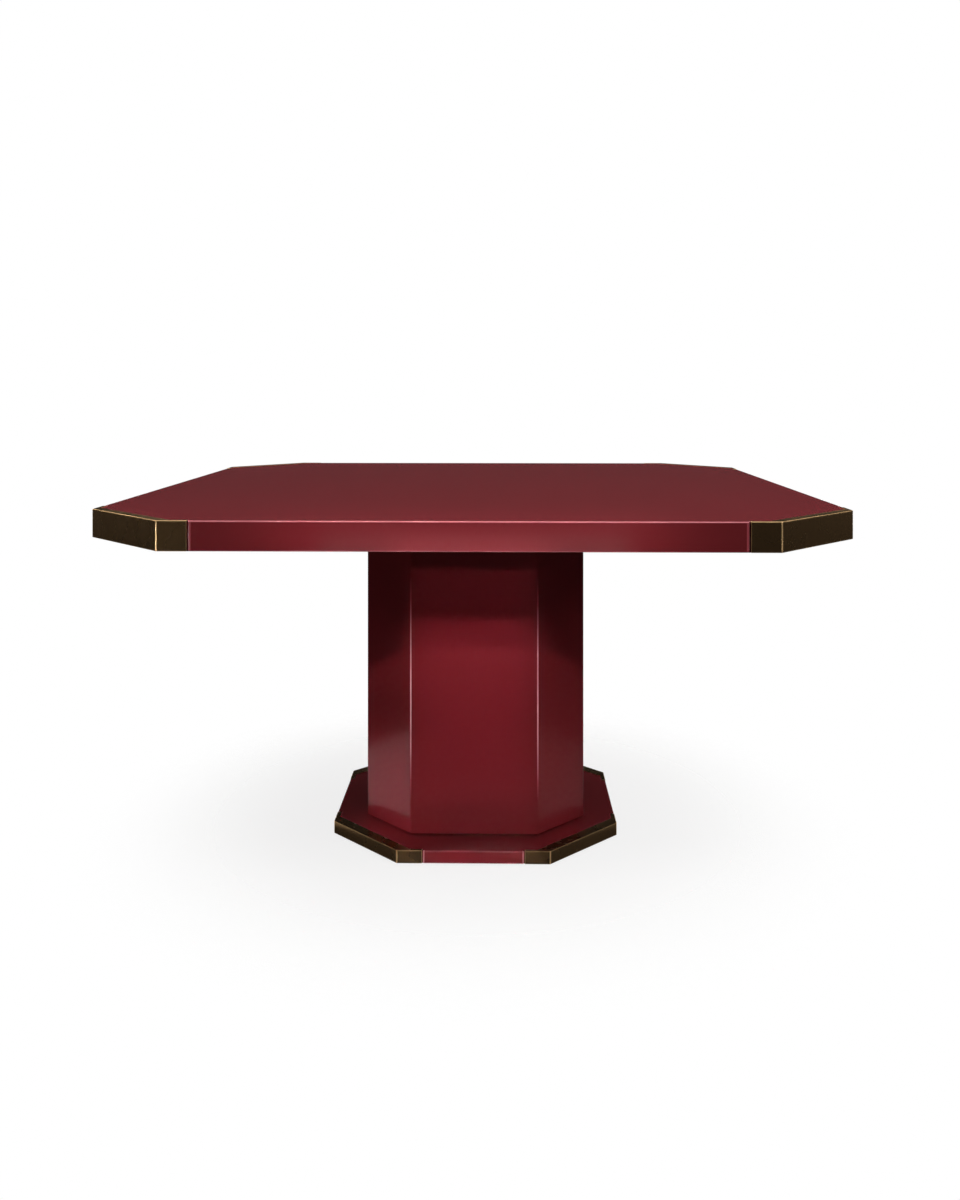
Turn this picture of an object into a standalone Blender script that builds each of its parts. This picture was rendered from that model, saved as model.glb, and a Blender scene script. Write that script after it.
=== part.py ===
"""Octagonal pedestal dining table in gloss lacquer, with brass caps on the cut corners of its top and plinth.

Every board, cap and fastener is a stack of plan outlines joined ring to ring.
The table stands on z = 0 with its column on the Z axis and its front towards -Y. Units are metres.
"""

import math

import bmesh
import bpy
from mathutils import Matrix, Vector

# Tabletop: a square with its corners cut at 45 degrees
TABLE_HEIGHT = 0.750
TOP_WIDTH = 1.400
TOP_CUT = 0.172
EDGE_HEIGHT = 0.052
TOP_BOARD_THICKNESS = 0.025
EDGE_STRIP_WIDTH = 0.060

# Column: eight mitred panels round two inner boards, with a shadow gap between panels and plinth
COLUMN_WIDTH = 0.474
COLUMN_CUT = 0.103
COLUMN_WALL = 0.019
COLUMN_ARRIS = 0.006
COLUMN_SHADOW_GAP = 0.006
INNER_BOARD_THICKNESS = 0.030
BATTEN_LEG = 0.036
BATTEN_DEPTH = 0.040

# Plinth and the board that carries the top, measured out from the column
PLINTH_MARGIN = 0.070
PLINTH_CUT = 0.150
PLINTH_HEIGHT = 0.026
MOUNT_MARGIN = 0.073

# Brass corner caps, bent from plate and seated in rebates
BRASS = 0.003
BRASS_PROUD = 0.0005
CAP_RETURN = 0.052
CAP_LIP = 0.008
CAP_BEND = 0.005
CAP_EDGE_ROUND = 0.0012
CAP_END_GAP = 0.0005
TOP_CAP_FLANGE = 0.020
PLINTH_CAP_FLANGE = 0.024

# Rounding of the lacquered boards: long edges, and the ends of their faces beside the brass
EDGE_ROUND = 0.0022
MOST_ROUND = 0.8
TOP_FACE_END_ROUND = 0.010
PLINTH_FACE_END_ROUND = 0.005

# Fasteners and floor glides
BOLT_RADIUS = 0.004
BOLT_FLANGE_RADIUS = 0.009
BOLT_FLANGE_HEIGHT = 0.002
BOLT_HEAD_RADIUS = 0.0065
BOLT_HEAD_HEIGHT = 0.006
INSERT_WALL = 0.003
INSERT_DEPTH = 0.016
SCREW_RADIUS = 0.003
SCREW_HEAD_RADIUS = 0.0065
SCREW_BITE = 0.022
SCREW_INSET = 0.060
COUNTERBORE_DEPTH = 0.012
COUNTERBORE_MARGIN = 0.003
GLIDE_RADIUS = 0.018
GLIDE_HEIGHT = 0.0025
GLIDE_ROUND = 0.001
GLIDE_PIN_RADIUS = 0.0015
GLIDE_PIN_LENGTH = 0.012
GLIDE_INSET = 0.045

# Clearance between pieces that touch, and how finely round shapes are divided
FIT = 0.0003
ARC_STEPS = 4
ROUND_STEPS = 3
TURNED_SIDES = 24
SAME_POINT = 0.000001
SHARP_ANGLE = math.radians(35)

# Neighbouring sides of every octagon turn by this many degrees, and mitres share the turn
CORNER_TURN = 45
HALF_TURN = math.radians(CORNER_TURN / 2)

# Sizes that follow from the ones above
TAN = math.tan(HALF_TURN)
EDGE_UNDERSIDE = TABLE_HEIGHT - EDGE_HEIGHT
STRIP_HEIGHT = EDGE_HEIGHT - TOP_BOARD_THICKNESS - FIT
PLINTH_UNDERSIDE = GLIDE_HEIGHT + FIT
PLINTH_TOP = PLINTH_UNDERSIDE + PLINTH_HEIGHT
PLINTH_WIDTH = COLUMN_WIDTH + 2 * PLINTH_MARGIN
COLUMN_HEIGHT = EDGE_UNDERSIDE - PLINTH_TOP - FIT
REBATE = BRASS - BRASS_PROUD + FIT
MITRE_GAP = FIT / 2 / math.cos(HALF_TURN)
MOUNT_BOLT_REACH = COLUMN_WIDTH / 2 + MOUNT_MARGIN / 2
COLUMN_SCREW_REACH = COLUMN_WIDTH / 2 - COLUMN_WALL - SCREW_INSET

SIDES = ("front", "right", "back", "left")
CORNERS = ("front_right", "back_right", "back_left", "front_left")


def clear_scene():
    for obj in list(bpy.data.objects):
        bpy.data.objects.remove(obj, do_unlink=True)


def linear(hex_colour):
    """An sRGB hex colour as linear RGBA."""
    channels = [int(hex_colour[i : i + 2], 16) / 255 for i in (1, 3, 5)]
    return [c / 12.92 if c <= 0.04045 else ((c + 0.055) / 1.055) ** 2.4 for c in channels] + [1.0]


def material(name, hex_colour, roughness, metallic=0.0, coat=0.0):
    made = bpy.data.materials.new(name)
    made.use_nodes = True
    shader = made.node_tree.nodes["Principled BSDF"]
    shader.inputs["Base Color"].default_value = linear(hex_colour)
    shader.inputs["Roughness"].default_value = roughness
    shader.inputs["Metallic"].default_value = metallic
    shader.inputs["Coat Weight"].default_value = coat
    made.diffuse_color = linear(hex_colour)
    return made


def assembly(name, height, parent=None):
    """An empty that carries the pieces of one sub-assembly."""
    empty = bpy.data.objects.new(name, None)
    empty.location.z = height
    empty.parent = parent
    bpy.context.scene.collection.objects.link(empty)
    return empty


def stacked_mesh(name, rings, closed=False):
    """A closed mesh from rings of (outline, z), all with the same number of points, listed upwards.

    Points that coincide are merged, so a ring may repeat points of its own or of the ring below it.
    A closed stack joins its last ring to its first, as the wall of a tube does.
    """
    bm = bmesh.new()
    loops = [[bm.verts.new((point[0], point[1], z)) for point in outline] for outline, z in rings]
    pairs = list(zip(loops, loops[1:]))
    if closed:
        pairs.append((loops[-1], loops[0]))
    else:
        bm.faces.new(reversed(loops[0]))
        bm.faces.new(loops[-1])
    count = len(loops[0])
    for lower, upper in pairs:
        for i in range(count):
            j = (i + 1) % count
            bm.faces.new((lower[i], lower[j], upper[j], upper[i]))
    bmesh.ops.remove_doubles(bm, verts=bm.verts, dist=SAME_POINT)
    mesh = bpy.data.meshes.new(name)
    bm.to_mesh(mesh)
    bm.free()
    mesh.shade_smooth()
    mesh.set_sharp_from_angle(angle=SHARP_ANGLE)
    return mesh


def straight_mesh(name, outline, bottom, top):
    """A board or batten: one outline carried from its bottom to its top."""
    return stacked_mesh(name, [(outline, bottom), (outline, top)])


def piece(name, mesh, finish, parent, location=(0, 0, 0), turn=0.0):
    """One named sub-part: a mesh placed in its assembly."""
    if not mesh.materials:
        mesh.materials.append(finish)
    obj = bpy.data.objects.new(name, mesh)
    obj.location = location
    obj.rotation_euler.z = math.radians(turn)
    obj.parent = parent
    bpy.context.scene.collection.objects.link(obj)
    return obj


def cut_with(target, mesh, places, parent):
    """Cuts the mesh out of the target at each place, with hidden cutters that stay in the scene."""
    for number, place in enumerate(places):
        name = f"{target.name}_{mesh.name}_{number + 1}"
        cutter = piece(name, mesh, target.active_material, parent, place)
        cutter.hide_render = True
        cutter.display_type = "WIRE"
        modifier = target.modifiers.new(name, "BOOLEAN")
        modifier.operation = "DIFFERENCE"
        modifier.object = cutter


def circle(radius):
    angles = [2 * math.pi * i / TURNED_SIDES for i in range(TURNED_SIDES)]
    return [(radius * math.cos(a), radius * math.sin(a)) for a in angles]


def hexagon(radius):
    """A hexagon of this radius to its flats, on as many points as a circle."""
    points = []
    for x, y in circle(1.0):
        from_flat = math.remainder(math.atan2(y, x), math.pi / 3)
        reach = radius / math.cos(from_flat)
        points.append((reach * x, reach * y))
    return points


def turned_mesh(name, profile, closed=False):
    """A round piece from (radius, z) pairs, listed upwards."""
    return stacked_mesh(name, [(circle(radius), z) for radius, z in profile], closed)


def four_ways(reach, turn=0):
    """Four places at this distance from the axis: towards the sides, or the corners with a corner turn."""
    turns = [math.radians(90 * k + turn) for k in range(4)]
    return [Matrix.Rotation(a, 3, "Z") @ Vector((0, -reach, 0)) for a in turns]


def turned_four_times(points):
    """The outline of all four sides from the points of the front one."""
    return [Matrix.Rotation(math.radians(90 * k), 2) @ Vector(point) for k in range(4) for point in points]


def corner_points(width, cut, inset=0.0):
    """The two points of a square's cut front-right corner, with every side moved in by inset."""
    half = width / 2
    front = Vector((half - cut - inset * TAN, -half + inset))
    side = Vector((half - inset, -half + cut + inset * TAN))
    return front, side


def flange_point(width, cut, lip, flange):
    """Where the lip line along the front meets the flange line along the front-right cut."""
    half = width / 2
    return Vector((half - cut - flange * math.sqrt(2) + lip, -half + lip))


def mirrored_left(points):
    return [Vector((-point.x, point.y)) for point in reversed(points)]


def across_corner(points):
    """The same points on the other side of the front-right corner's diagonal."""
    return [Vector((-point.y, -point.x)) for point in reversed(points)]


def rounding(radius):
    """(inset, rise) pairs over a quarter round, from the upright face to the flat one."""
    steps = [math.radians(90 * i / ROUND_STEPS) for i in range(ROUND_STEPS + 1)]
    return [(radius * (1 - math.cos(a)), radius * math.sin(a)) for a in steps]


class CappedBoard:
    """A lacquered board whose cut corners are rebated for brass caps."""

    def __init__(self, width, cut, flange, face_end_round):
        self.width = width
        self.cut = cut
        self.flange = flange
        self.end_round = face_end_round
        self.edge_round = min(EDGE_ROUND, MOST_ROUND * face_end_round, MOST_ROUND * REBATE)
        self.face_end = width / 2 - cut - CAP_RETURN - CAP_END_GAP
        self.arc_x = self.face_end - face_end_round * math.sin(self.turn_to_floor(0.0))
        self.arc_y = -width / 2 + face_end_round

    def turn_to_floor(self, inset):
        """How far a rounded face end turns before it reaches the rebate's floor, at most a quarter."""
        return math.acos(max((self.end_round - REBATE) / (self.end_round - inset), 0.0))

    def face_end_arc(self, inset, full_turn):
        radius = self.end_round - inset
        turns = [full_turn * i / ARC_STEPS for i in range(ARC_STEPS + 1)]
        return [Vector((self.arc_x + radius * math.sin(a), self.arc_y - radius * math.cos(a))) for a in turns]

    def rebated_side(self, inset=0.0):
        """The front side below the caps' flanges: its face, and the rebate floors at both ends."""
        arc = self.face_end_arc(inset, self.turn_to_floor(inset))
        foot = Vector((arc[-1].x, -self.width / 2 + REBATE))
        right = arc + [foot, corner_points(self.width, self.cut, REBATE)[0]]
        return mirrored_left(right) + right

    def flanged_side(self, inset=0.0):
        """The front side at the level of the caps' flanges, which are let into the board from above."""
        wall = self.face_end - inset
        full_turn = math.asin((wall - self.arc_x) / (self.end_round - inset))
        arc = self.face_end_arc(inset, full_turn)
        lip = CAP_LIP + FIT + inset
        corner = flange_point(self.width, self.cut, lip, self.flange + FIT + inset)
        right = arc + [Vector((wall, -self.width / 2 + lip)), corner]
        return mirrored_left(right) + right

    def board_mesh(self, name, bottom, top):
        ledge = top - REBATE
        rings = [(self.rebated_side(), bottom), (self.rebated_side(), ledge), (self.flanged_side(), ledge)]
        for inset, rise in rounding(self.edge_round):
            rings.append((self.flanged_side(inset), top - self.edge_round + rise))
        return stacked_mesh(name, [(turned_four_times(side), z) for side, z in rings])

    def strip_mesh(self, name, strip_width, height):
        """One edge strip under the front side, mitred at both ends and rounded along its lower edge."""
        inner = corner_points(self.width, self.cut, strip_width)[0] - Vector((MITRE_GAP, 0))

        def outline(inset):
            side = self.rebated_side(inset)
            side[0] = side[0] + Vector((MITRE_GAP, 0))
            side[-1] = side[-1] - Vector((MITRE_GAP, 0))
            return side + [inner] + mirrored_left([inner])

        steps = reversed(rounding(self.edge_round))
        rings = [(outline(inset), self.edge_round - rise) for inset, rise in steps]
        return stacked_mesh(name, rings + [(outline(0.0), height)])

    def corner_strip_mesh(self, name, strip_width, height):
        """The short strip behind a brass cap, mitred against its two neighbours."""
        along = Vector((1, 1)).normalized() * MITRE_GAP
        outer = corner_points(self.width, self.cut, REBATE)
        inner = corner_points(self.width, self.cut, strip_width)
        outline = [outer[0] + along, outer[1] - along, inner[1] - along, inner[0] + along]
        return straight_mesh(name, outline, 0.0, height)

    def cap_mesh(self, name, height):
        """A brass cap: a wall bent round the cut corner, with a lip over each return and a flange between."""
        half = self.width / 2
        return_end = half - self.cut - CAP_RETURN

        def outer(inset):
            radius = CAP_BEND - inset
            bend = corner_points(self.width, self.cut, CAP_BEND - BRASS_PROUD)[0]
            turns = [math.radians(CORNER_TURN * i / ARC_STEPS) for i in range(ARC_STEPS + 1)]
            arc = [bend + radius * Vector((math.sin(a), -math.cos(a))) for a in turns]
            run = [Vector((return_end, -half - BRASS_PROUD + inset))] + arc
            return run + across_corner(run)

        def inner(depth, corner):
            run = [Vector((return_end, -half + depth))] + [corner] * (ARC_STEPS + 1)
            return list(reversed(run + across_corner(run)))

        wall_depth = BRASS - BRASS_PROUD
        wall = inner(wall_depth, corner_points(self.width, self.cut, wall_depth)[0])
        flange = inner(CAP_LIP, flange_point(self.width, self.cut, CAP_LIP, self.flange))
        top = height + BRASS_PROUD
        rings = [(outer(i) + wall, CAP_EDGE_ROUND - rise) for i, rise in reversed(rounding(CAP_EDGE_ROUND))]
        rings += [(outer(0.0) + wall, top - BRASS), (outer(0.0) + flange, top - BRASS)]
        rings += [(outer(i) + flange, top - CAP_EDGE_ROUND + rise) for i, rise in rounding(CAP_EDGE_ROUND)]
        return stacked_mesh(name, rings)


def mitred_panel_mesh(name, length, distance, height):
    """A column panel facing -Y at this distance from the axis, with half of a rounded arris at each end."""
    turns = [HALF_TURN * i / ROUND_STEPS for i in range(ROUND_STEPS + 1)]
    tangent = length / 2 - COLUMN_ARRIS * TAN
    right = [
        Vector((tangent + COLUMN_ARRIS * math.sin(a), -distance + COLUMN_ARRIS * (1 - math.cos(a))))
        for a in turns
    ]
    right.append(Vector((length / 2 - COLUMN_WALL * TAN, -distance + COLUMN_WALL)))
    for point in right[ROUND_STEPS:]:
        point.x -= MITRE_GAP
    return straight_mesh(name, right + mirrored_left(right), COLUMN_SHADOW_GAP, height)


def octagon(width, cut, inset):
    """The whole outline of a cut-cornered square, with every side moved in by inset."""
    corner = corner_points(width, cut, inset)[0]
    return turned_four_times(mirrored_left([corner]) + [corner])


def batten_mesh(name, bottom, top):
    """A glue batten for a mitred corner: its point looks along -Y, and its legs lie on the two panels."""
    leg = BATTEN_LEG * Vector((math.cos(HALF_TURN), math.sin(HALF_TURN)))
    outline = [Vector((0, 0)), leg, Vector((0, BATTEN_DEPTH)), mirrored_left([leg])[0]]
    return straight_mesh(name, outline, bottom, top)


def flange_bolt_mesh(name, length):
    """A hexagon bolt with a flange: its seat is at z = 0, its head below and its shank above."""
    head_end = -BOLT_FLANGE_HEIGHT - BOLT_HEAD_HEIGHT
    return stacked_mesh(name, [
        (hexagon(BOLT_HEAD_RADIUS), head_end),
        (hexagon(BOLT_HEAD_RADIUS), -BOLT_FLANGE_HEIGHT),
        (circle(BOLT_FLANGE_RADIUS), -BOLT_FLANGE_HEIGHT),
        (circle(BOLT_FLANGE_RADIUS), 0.0),
        (circle(BOLT_RADIUS), 0.0),
        (circle(BOLT_RADIUS), length),
    ])


def countersunk_profile(length, margin):
    """A flat-headed screw, point down from z = 0, grown all round by a margin for the hole that takes it."""
    shank = SCREW_RADIUS + margin
    head = SCREW_HEAD_RADIUS + margin
    return [(shank, -length - margin), (shank, shank - head), (head, 0.0)]


def build_top(parent, lacquer, brass, plywood, steel):
    board = CappedBoard(TOP_WIDTH, TOP_CUT, TOP_CAP_FLANGE, TOP_FACE_END_ROUND)
    board_bottom = STRIP_HEIGHT + FIT
    top_board = piece("top_board", board.board_mesh("top_board", board_bottom, EDGE_HEIGHT), lacquer, parent)
    strip = board.strip_mesh("edge_strip", EDGE_STRIP_WIDTH, STRIP_HEIGHT)
    corner_strip = board.corner_strip_mesh("corner_strip", EDGE_STRIP_WIDTH, STRIP_HEIGHT)
    cap = board.cap_mesh("top_cap", EDGE_HEIGHT)
    for k in range(4):
        piece(f"edge_strip_{SIDES[k]}", strip, lacquer, parent, turn=90 * k)
        piece(f"corner_strip_{CORNERS[k]}", corner_strip, lacquer, parent, turn=90 * k)
        piece(f"top_cap_{CORNERS[k]}", cap, brass, parent, turn=90 * k)

    mount_outline = octagon(COLUMN_WIDTH, COLUMN_CUT, -MOUNT_MARGIN)
    mount = straight_mesh("mounting_board", mount_outline, 0.0, STRIP_HEIGHT)
    mounting_board = piece("mounting_board", mount, plywood, parent)

    places = four_ways(MOUNT_BOLT_REACH)
    bolt_length = STRIP_HEIGHT + INSERT_DEPTH
    bolt = flange_bolt_mesh("top_bolt", bolt_length)
    bore = BOLT_RADIUS + FIT
    sleeve = bore + INSERT_WALL
    insert_end = board_bottom + INSERT_DEPTH
    tube = [(bore, board_bottom), (sleeve, board_bottom), (sleeve, insert_end), (bore, insert_end)]
    insert = turned_mesh("top_insert", tube, closed=True)
    for k, place in enumerate(places):
        piece(f"top_bolt_{SIDES[k]}", bolt, steel, parent, place - Vector((0, 0, FIT)))
        piece(f"top_insert_{SIDES[k]}", insert, steel, parent, place)
    pocket = turned_mesh("insert_pocket", [(sleeve + FIT, 0.0), (sleeve + FIT, insert_end + FIT)])
    bolt_hole = turned_mesh("bolt_hole", [(bore, -EDGE_HEIGHT), (bore, EDGE_HEIGHT)])
    cut_with(top_board, pocket, places, parent)
    cut_with(mounting_board, bolt_hole, places, parent)
    return mounting_board


def build_column(parent, lacquer, plywood, steel, mounting_board):
    half = COLUMN_WIDTH / 2
    wide = mitred_panel_mesh("wide_panel", COLUMN_WIDTH - 2 * COLUMN_CUT, half, COLUMN_HEIGHT)
    corner_distance = (2 * half - COLUMN_CUT) / math.sqrt(2)
    narrow = mitred_panel_mesh("narrow_panel", COLUMN_CUT * math.sqrt(2), corner_distance, COLUMN_HEIGHT)
    for k in range(4):
        piece(f"column_panel_{SIDES[k]}", wide, lacquer, parent, turn=90 * k)
        piece(f"column_panel_{CORNERS[k]}", narrow, lacquer, parent, turn=90 * k + CORNER_TURN)

    inside = octagon(COLUMN_WIDTH, COLUMN_CUT, COLUMN_WALL + FIT)
    foot_top = FIT + INNER_BOARD_THICKNESS
    head_bottom = COLUMN_HEIGHT - INNER_BOARD_THICKNESS
    foot = straight_mesh("foot_board", inside, FIT, foot_top)
    foot_board = piece("foot_board", foot, plywood, parent)
    head = straight_mesh("head_board", inside, head_bottom, COLUMN_HEIGHT)
    head_board = piece("head_board", head, plywood, parent)

    batten = batten_mesh("corner_batten", foot_top + FIT, head_bottom - FIT)
    seats = corner_points(COLUMN_WIDTH, COLUMN_CUT, COLUMN_WALL + FIT)
    for k in range(4):
        for number, seat in enumerate(seats):
            place = Matrix.Rotation(math.radians(90 * k), 2) @ seat
            name = f"corner_batten_{CORNERS[k]}_{number + 1}"
            turn = 90 * k + CORNER_TURN * (number + 0.5)
            piece(name, batten, plywood, parent, (*place, 0), turn)

    mount_top = COLUMN_HEIGHT + FIT + STRIP_HEIGHT
    head_length = STRIP_HEIGHT + FIT + SCREW_BITE
    screw = turned_mesh("head_screw", countersunk_profile(head_length, 0.0))
    hole_mouth = [(SCREW_HEAD_RADIUS + FIT, EDGE_HEIGHT)]
    screw_hole = turned_mesh("head_screw_hole", countersunk_profile(head_length, FIT) + hole_mouth)
    places = [place + Vector((0, 0, mount_top)) for place in four_ways(COLUMN_SCREW_REACH)]
    for k, place in enumerate(places):
        piece(f"head_screw_{SIDES[k]}", screw, steel, parent, place)
    cut_with(mounting_board, screw_hole, places, parent)
    cut_with(head_board, screw_hole, places, parent)
    return foot_board


def build_plinth(parent, lacquer, brass, steel, nylon, foot_board):
    board = CappedBoard(PLINTH_WIDTH, PLINTH_CUT, PLINTH_CAP_FLANGE, PLINTH_FACE_END_ROUND)
    mesh = board.board_mesh("plinth_board", 0.0, PLINTH_HEIGHT)
    plinth_board = piece("plinth_board", mesh, lacquer, parent)
    cap = board.cap_mesh("plinth_cap", PLINTH_HEIGHT)
    for k in range(4):
        piece(f"plinth_cap_{CORNERS[k]}", cap, brass, parent, turn=90 * k)

    places = four_ways(COLUMN_SCREW_REACH)
    length = PLINTH_HEIGHT - COUNTERBORE_DEPTH + FIT + SCREW_BITE
    bolt = flange_bolt_mesh("plinth_bolt", length)
    seat = Vector((0, 0, COUNTERBORE_DEPTH - FIT))
    for k, place in enumerate(places):
        piece(f"plinth_bolt_{SIDES[k]}", bolt, steel, parent, place + seat)
    recess = BOLT_FLANGE_RADIUS + COUNTERBORE_MARGIN
    bore = BOLT_RADIUS + FIT
    bolt_end = PLINTH_HEIGHT + FIT + SCREW_BITE + FIT
    counterbore = [(recess, -COUNTERBORE_DEPTH), (recess, COUNTERBORE_DEPTH)]
    clearance_bore = [(bore, COUNTERBORE_DEPTH), (bore, bolt_end)]
    hole = turned_mesh("plinth_bolt_hole", counterbore + clearance_bore)
    cut_with(plinth_board, hole, places, parent)
    cut_with(foot_board, hole, places, parent)

    corner_reach = (PLINTH_WIDTH - PLINTH_CUT) / math.sqrt(2)
    round_end = GLIDE_ROUND - FIT - GLIDE_HEIGHT
    foot = [(GLIDE_RADIUS - inset, round_end - rise) for inset, rise in reversed(rounding(GLIDE_ROUND))]
    pin = [(GLIDE_RADIUS, -FIT), (GLIDE_PIN_RADIUS, -FIT), (GLIDE_PIN_RADIUS, GLIDE_PIN_LENGTH)]
    glide = turned_mesh("floor_glide", foot + pin)
    pin_radius = GLIDE_PIN_RADIUS + FIT
    hole_end = GLIDE_PIN_LENGTH + FIT
    pin_hole = turned_mesh("glide_pin_hole", [(pin_radius, -hole_end), (pin_radius, hole_end)])
    glide_places = four_ways(corner_reach - GLIDE_INSET, CORNER_TURN)
    for k, place in enumerate(glide_places):
        piece(f"floor_glide_{CORNERS[k]}", glide, nylon, parent, place)
    cut_with(plinth_board, pin_hole, glide_places, parent)


def main():
    clear_scene()
    lacquer = material("burgundy_lacquer", "#6B1A22", roughness=0.12, coat=1.0)
    brass = material("aged_brass", "#5C4A2C", roughness=0.32, metallic=1.0)
    plywood = material("birch_plywood", "#C6A477", roughness=0.6)
    steel = material("zinc_plated_steel", "#B4B6B8", roughness=0.35, metallic=1.0)
    nylon = material("black_nylon", "#232324", roughness=0.5)

    table = assembly("table", 0.0)
    top = assembly("top_assembly", EDGE_UNDERSIDE, table)
    column = assembly("column_assembly", PLINTH_TOP, table)
    plinth = assembly("plinth_assembly", PLINTH_UNDERSIDE, table)
    mounting_board = build_top(top, lacquer, brass, plywood, steel)
    foot_board = build_column(column, lacquer, plywood, steel, mounting_board)
    build_plinth(plinth, lacquer, brass, steel, nylon, foot_board)


main()
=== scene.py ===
"""Finishes the octagonal pedestal dining table: lacquered shells, brass caps, fasteners and a studio.

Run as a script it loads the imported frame, registers its operators and calls them in order.
Units are metres, the table stands on z = 0 and its front looks towards -Y.
"""

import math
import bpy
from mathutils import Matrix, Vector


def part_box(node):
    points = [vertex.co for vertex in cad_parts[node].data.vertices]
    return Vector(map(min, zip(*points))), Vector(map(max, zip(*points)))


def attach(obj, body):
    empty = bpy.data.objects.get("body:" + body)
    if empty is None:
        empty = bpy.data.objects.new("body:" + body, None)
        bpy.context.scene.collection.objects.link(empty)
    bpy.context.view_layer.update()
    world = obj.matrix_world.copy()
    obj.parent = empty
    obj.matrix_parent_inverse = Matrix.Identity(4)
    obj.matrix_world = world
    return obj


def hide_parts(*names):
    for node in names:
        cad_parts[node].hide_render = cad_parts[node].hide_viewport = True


bl_info = {
    "name": "Octagonal pedestal dining table",
    "version": (1, 0, 0),
    "blender": (4, 5, 0),
    "location": "3D View > Sidebar > Table",
    "description": "Dresses the packed table with lacquered shells, brass corner caps and a plain studio",
    "category": "Object",
}

import bmesh
import bpy
from mathutils import Matrix, Vector

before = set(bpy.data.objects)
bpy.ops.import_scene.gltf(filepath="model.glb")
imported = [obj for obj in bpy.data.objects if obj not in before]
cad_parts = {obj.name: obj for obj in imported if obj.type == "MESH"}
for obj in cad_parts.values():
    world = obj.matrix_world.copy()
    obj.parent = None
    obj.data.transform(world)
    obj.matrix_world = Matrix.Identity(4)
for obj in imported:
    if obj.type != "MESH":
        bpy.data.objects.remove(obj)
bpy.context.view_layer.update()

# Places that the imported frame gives
TOP_LOW, TOP_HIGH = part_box("top_board")
STRIP_LOW, STRIP_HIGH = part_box("edge_strip_front")
PANEL_LOW, PANEL_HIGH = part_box("column_panel_front")
PLINTH_LOW, PLINTH_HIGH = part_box("plinth_board")
TOP_BOLT_LOW, TOP_BOLT_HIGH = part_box("top_bolt_front")
PLINTH_BOLT_LOW, PLINTH_BOLT_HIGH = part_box("plinth_bolt_front")
GLIDE_LOW, GLIDE_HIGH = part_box("floor_glide_front_right")

SIDES = ("front", "right", "back", "left")
CORNERS = ("front_right", "back_right", "back_left", "front_left")
BODY = "root"

# Neighbouring sides of every octagon turn by 45 degrees, and mitres share the turn
QUARTER_TURN = math.radians(90)
CORNER_TURN = math.radians(45)
HALF_TAN = math.tan(CORNER_TURN / 2)
ROOT_TWO = math.sqrt(2)

# How finely round shapes are divided
ARC_STEPS = 10
ROUND_STEPS = 6
COLUMN_STEPS = 40
TURNED_SIDES = 48
FLOOR_SIDES = 128
FLAG_SIDES = 64
# Points on half a side of a board: the arc of its face end, and the two corners of its rebate
HALF_SIDE_POINTS = ARC_STEPS + 3
SAME_POINT = 0.000001
SHARP_ANGLE = math.radians(38)

# How strongly each board carries wear and painted highlight: its long edges, the ends of its faces, and its
# caps' edges
TOP_WEAR_AND_HIGHLIGHT = (0.62, 0.33, 1.0)
PLINTH_WEAR_AND_HIGHLIGHT = (0.15, 0.75, 0.35)
# How strongly the column's left and right arrises carry wear and painted highlight, beside those of its
# front and back
SIDE_WEAR_AND_HIGHLIGHT = 0.25

# Over what heights the wear and painted highlight on the column's arrises fade in and out; under the top
# they fade where the top shades the column
ARRIS_MARK_FADE_LOW = 0.13
ARRIS_MARK_FADE_HIGH = 0.16
# How strong the mark is where the lacquer turns a brighter red, partly thin rubbed lacquer and partly a
# painted highlight, before it turns pale
THIN_WEAR_AND_HIGHLIGHT = 0.3
# How much wear and painted highlight a rounded edge carries where its rounding begins and ends
LEAST_EDGE_WEAR_AND_HIGHLIGHT = 0.25
# How much wear and painted highlight the ledges under the caps' flanges and the ends of the caps' returns
# carry
LEDGE_WEAR_AND_HIGHLIGHT = 0.3
CAP_END_WEAR_AND_HIGHLIGHT = 0.6
# How much rougher the lacquer and the brass are where the wear and painted highlight are full
LACQUER_DULLING = 0.4
BRASS_DULLING = 0.16
# The share of an arris's turn at which its wear and painted highlight begin, and at which they are full
ARRIS_FROM = 0.4
ARRIS_FULL = 0.9
# The share of a texture's range over which patches of wear and painted highlight come and go
PATCH_FROM = 0.3
PATCH_FULL = 0.6
# Between these lie most values of a noise texture
NOISE_LOW = 0.3
NOISE_HIGH = 0.7
# How steeply the painted shade in the crevice beside a cap comes in along the end of a face
CREVICE_SHADE_POWER = 4
# How much of each pair of plies is light, and how level a face may be and still count as a sawn edge
LIGHT_PLY = 0.55
EDGE_LEVEL = 0.5

# The photograph's frame, and its camera's focal length and centre in pixels
FRAME_WIDTH = 960
FRAME_HEIGHT = 1200
FOCAL_PIXELS = 1103.9
CENTRE_X = 481.5
CENTRE_Y = 385.5
SENSOR = 36.0


def linear(hex_colour):
    """An sRGB hex colour as linear RGBA."""
    channels = [int(hex_colour[i : i + 2], 16) / 255 for i in (1, 3, 5)]
    return [c / 12.92 if c <= 0.04045 else ((c + 0.055) / 1.055) ** 2.4 for c in channels] + [1.0]


def length(name, description, default):
    """A size in metres that a user can change."""
    return bpy.props.FloatProperty(
        name=name, description=description, default=default, min=0.0, precision=4, unit="LENGTH"
    )


def amount(name, description, default):
    """A plain number that a user can change."""
    return bpy.props.FloatProperty(name=name, description=description, default=default, min=0.0)


def share(name, description, default):
    """A part of one that a user can change."""
    return bpy.props.FloatProperty(
        name=name, description=description, default=default, min=0.0, max=1.0, subtype="FACTOR"
    )


def colour(name, description, hex_colour):
    """A colour that a user can change."""
    return bpy.props.FloatVectorProperty(
        name=name,
        description=description,
        default=linear(hex_colour),
        min=0.0,
        max=1.0,
        size=4,
        subtype="COLOR",
    )


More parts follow.
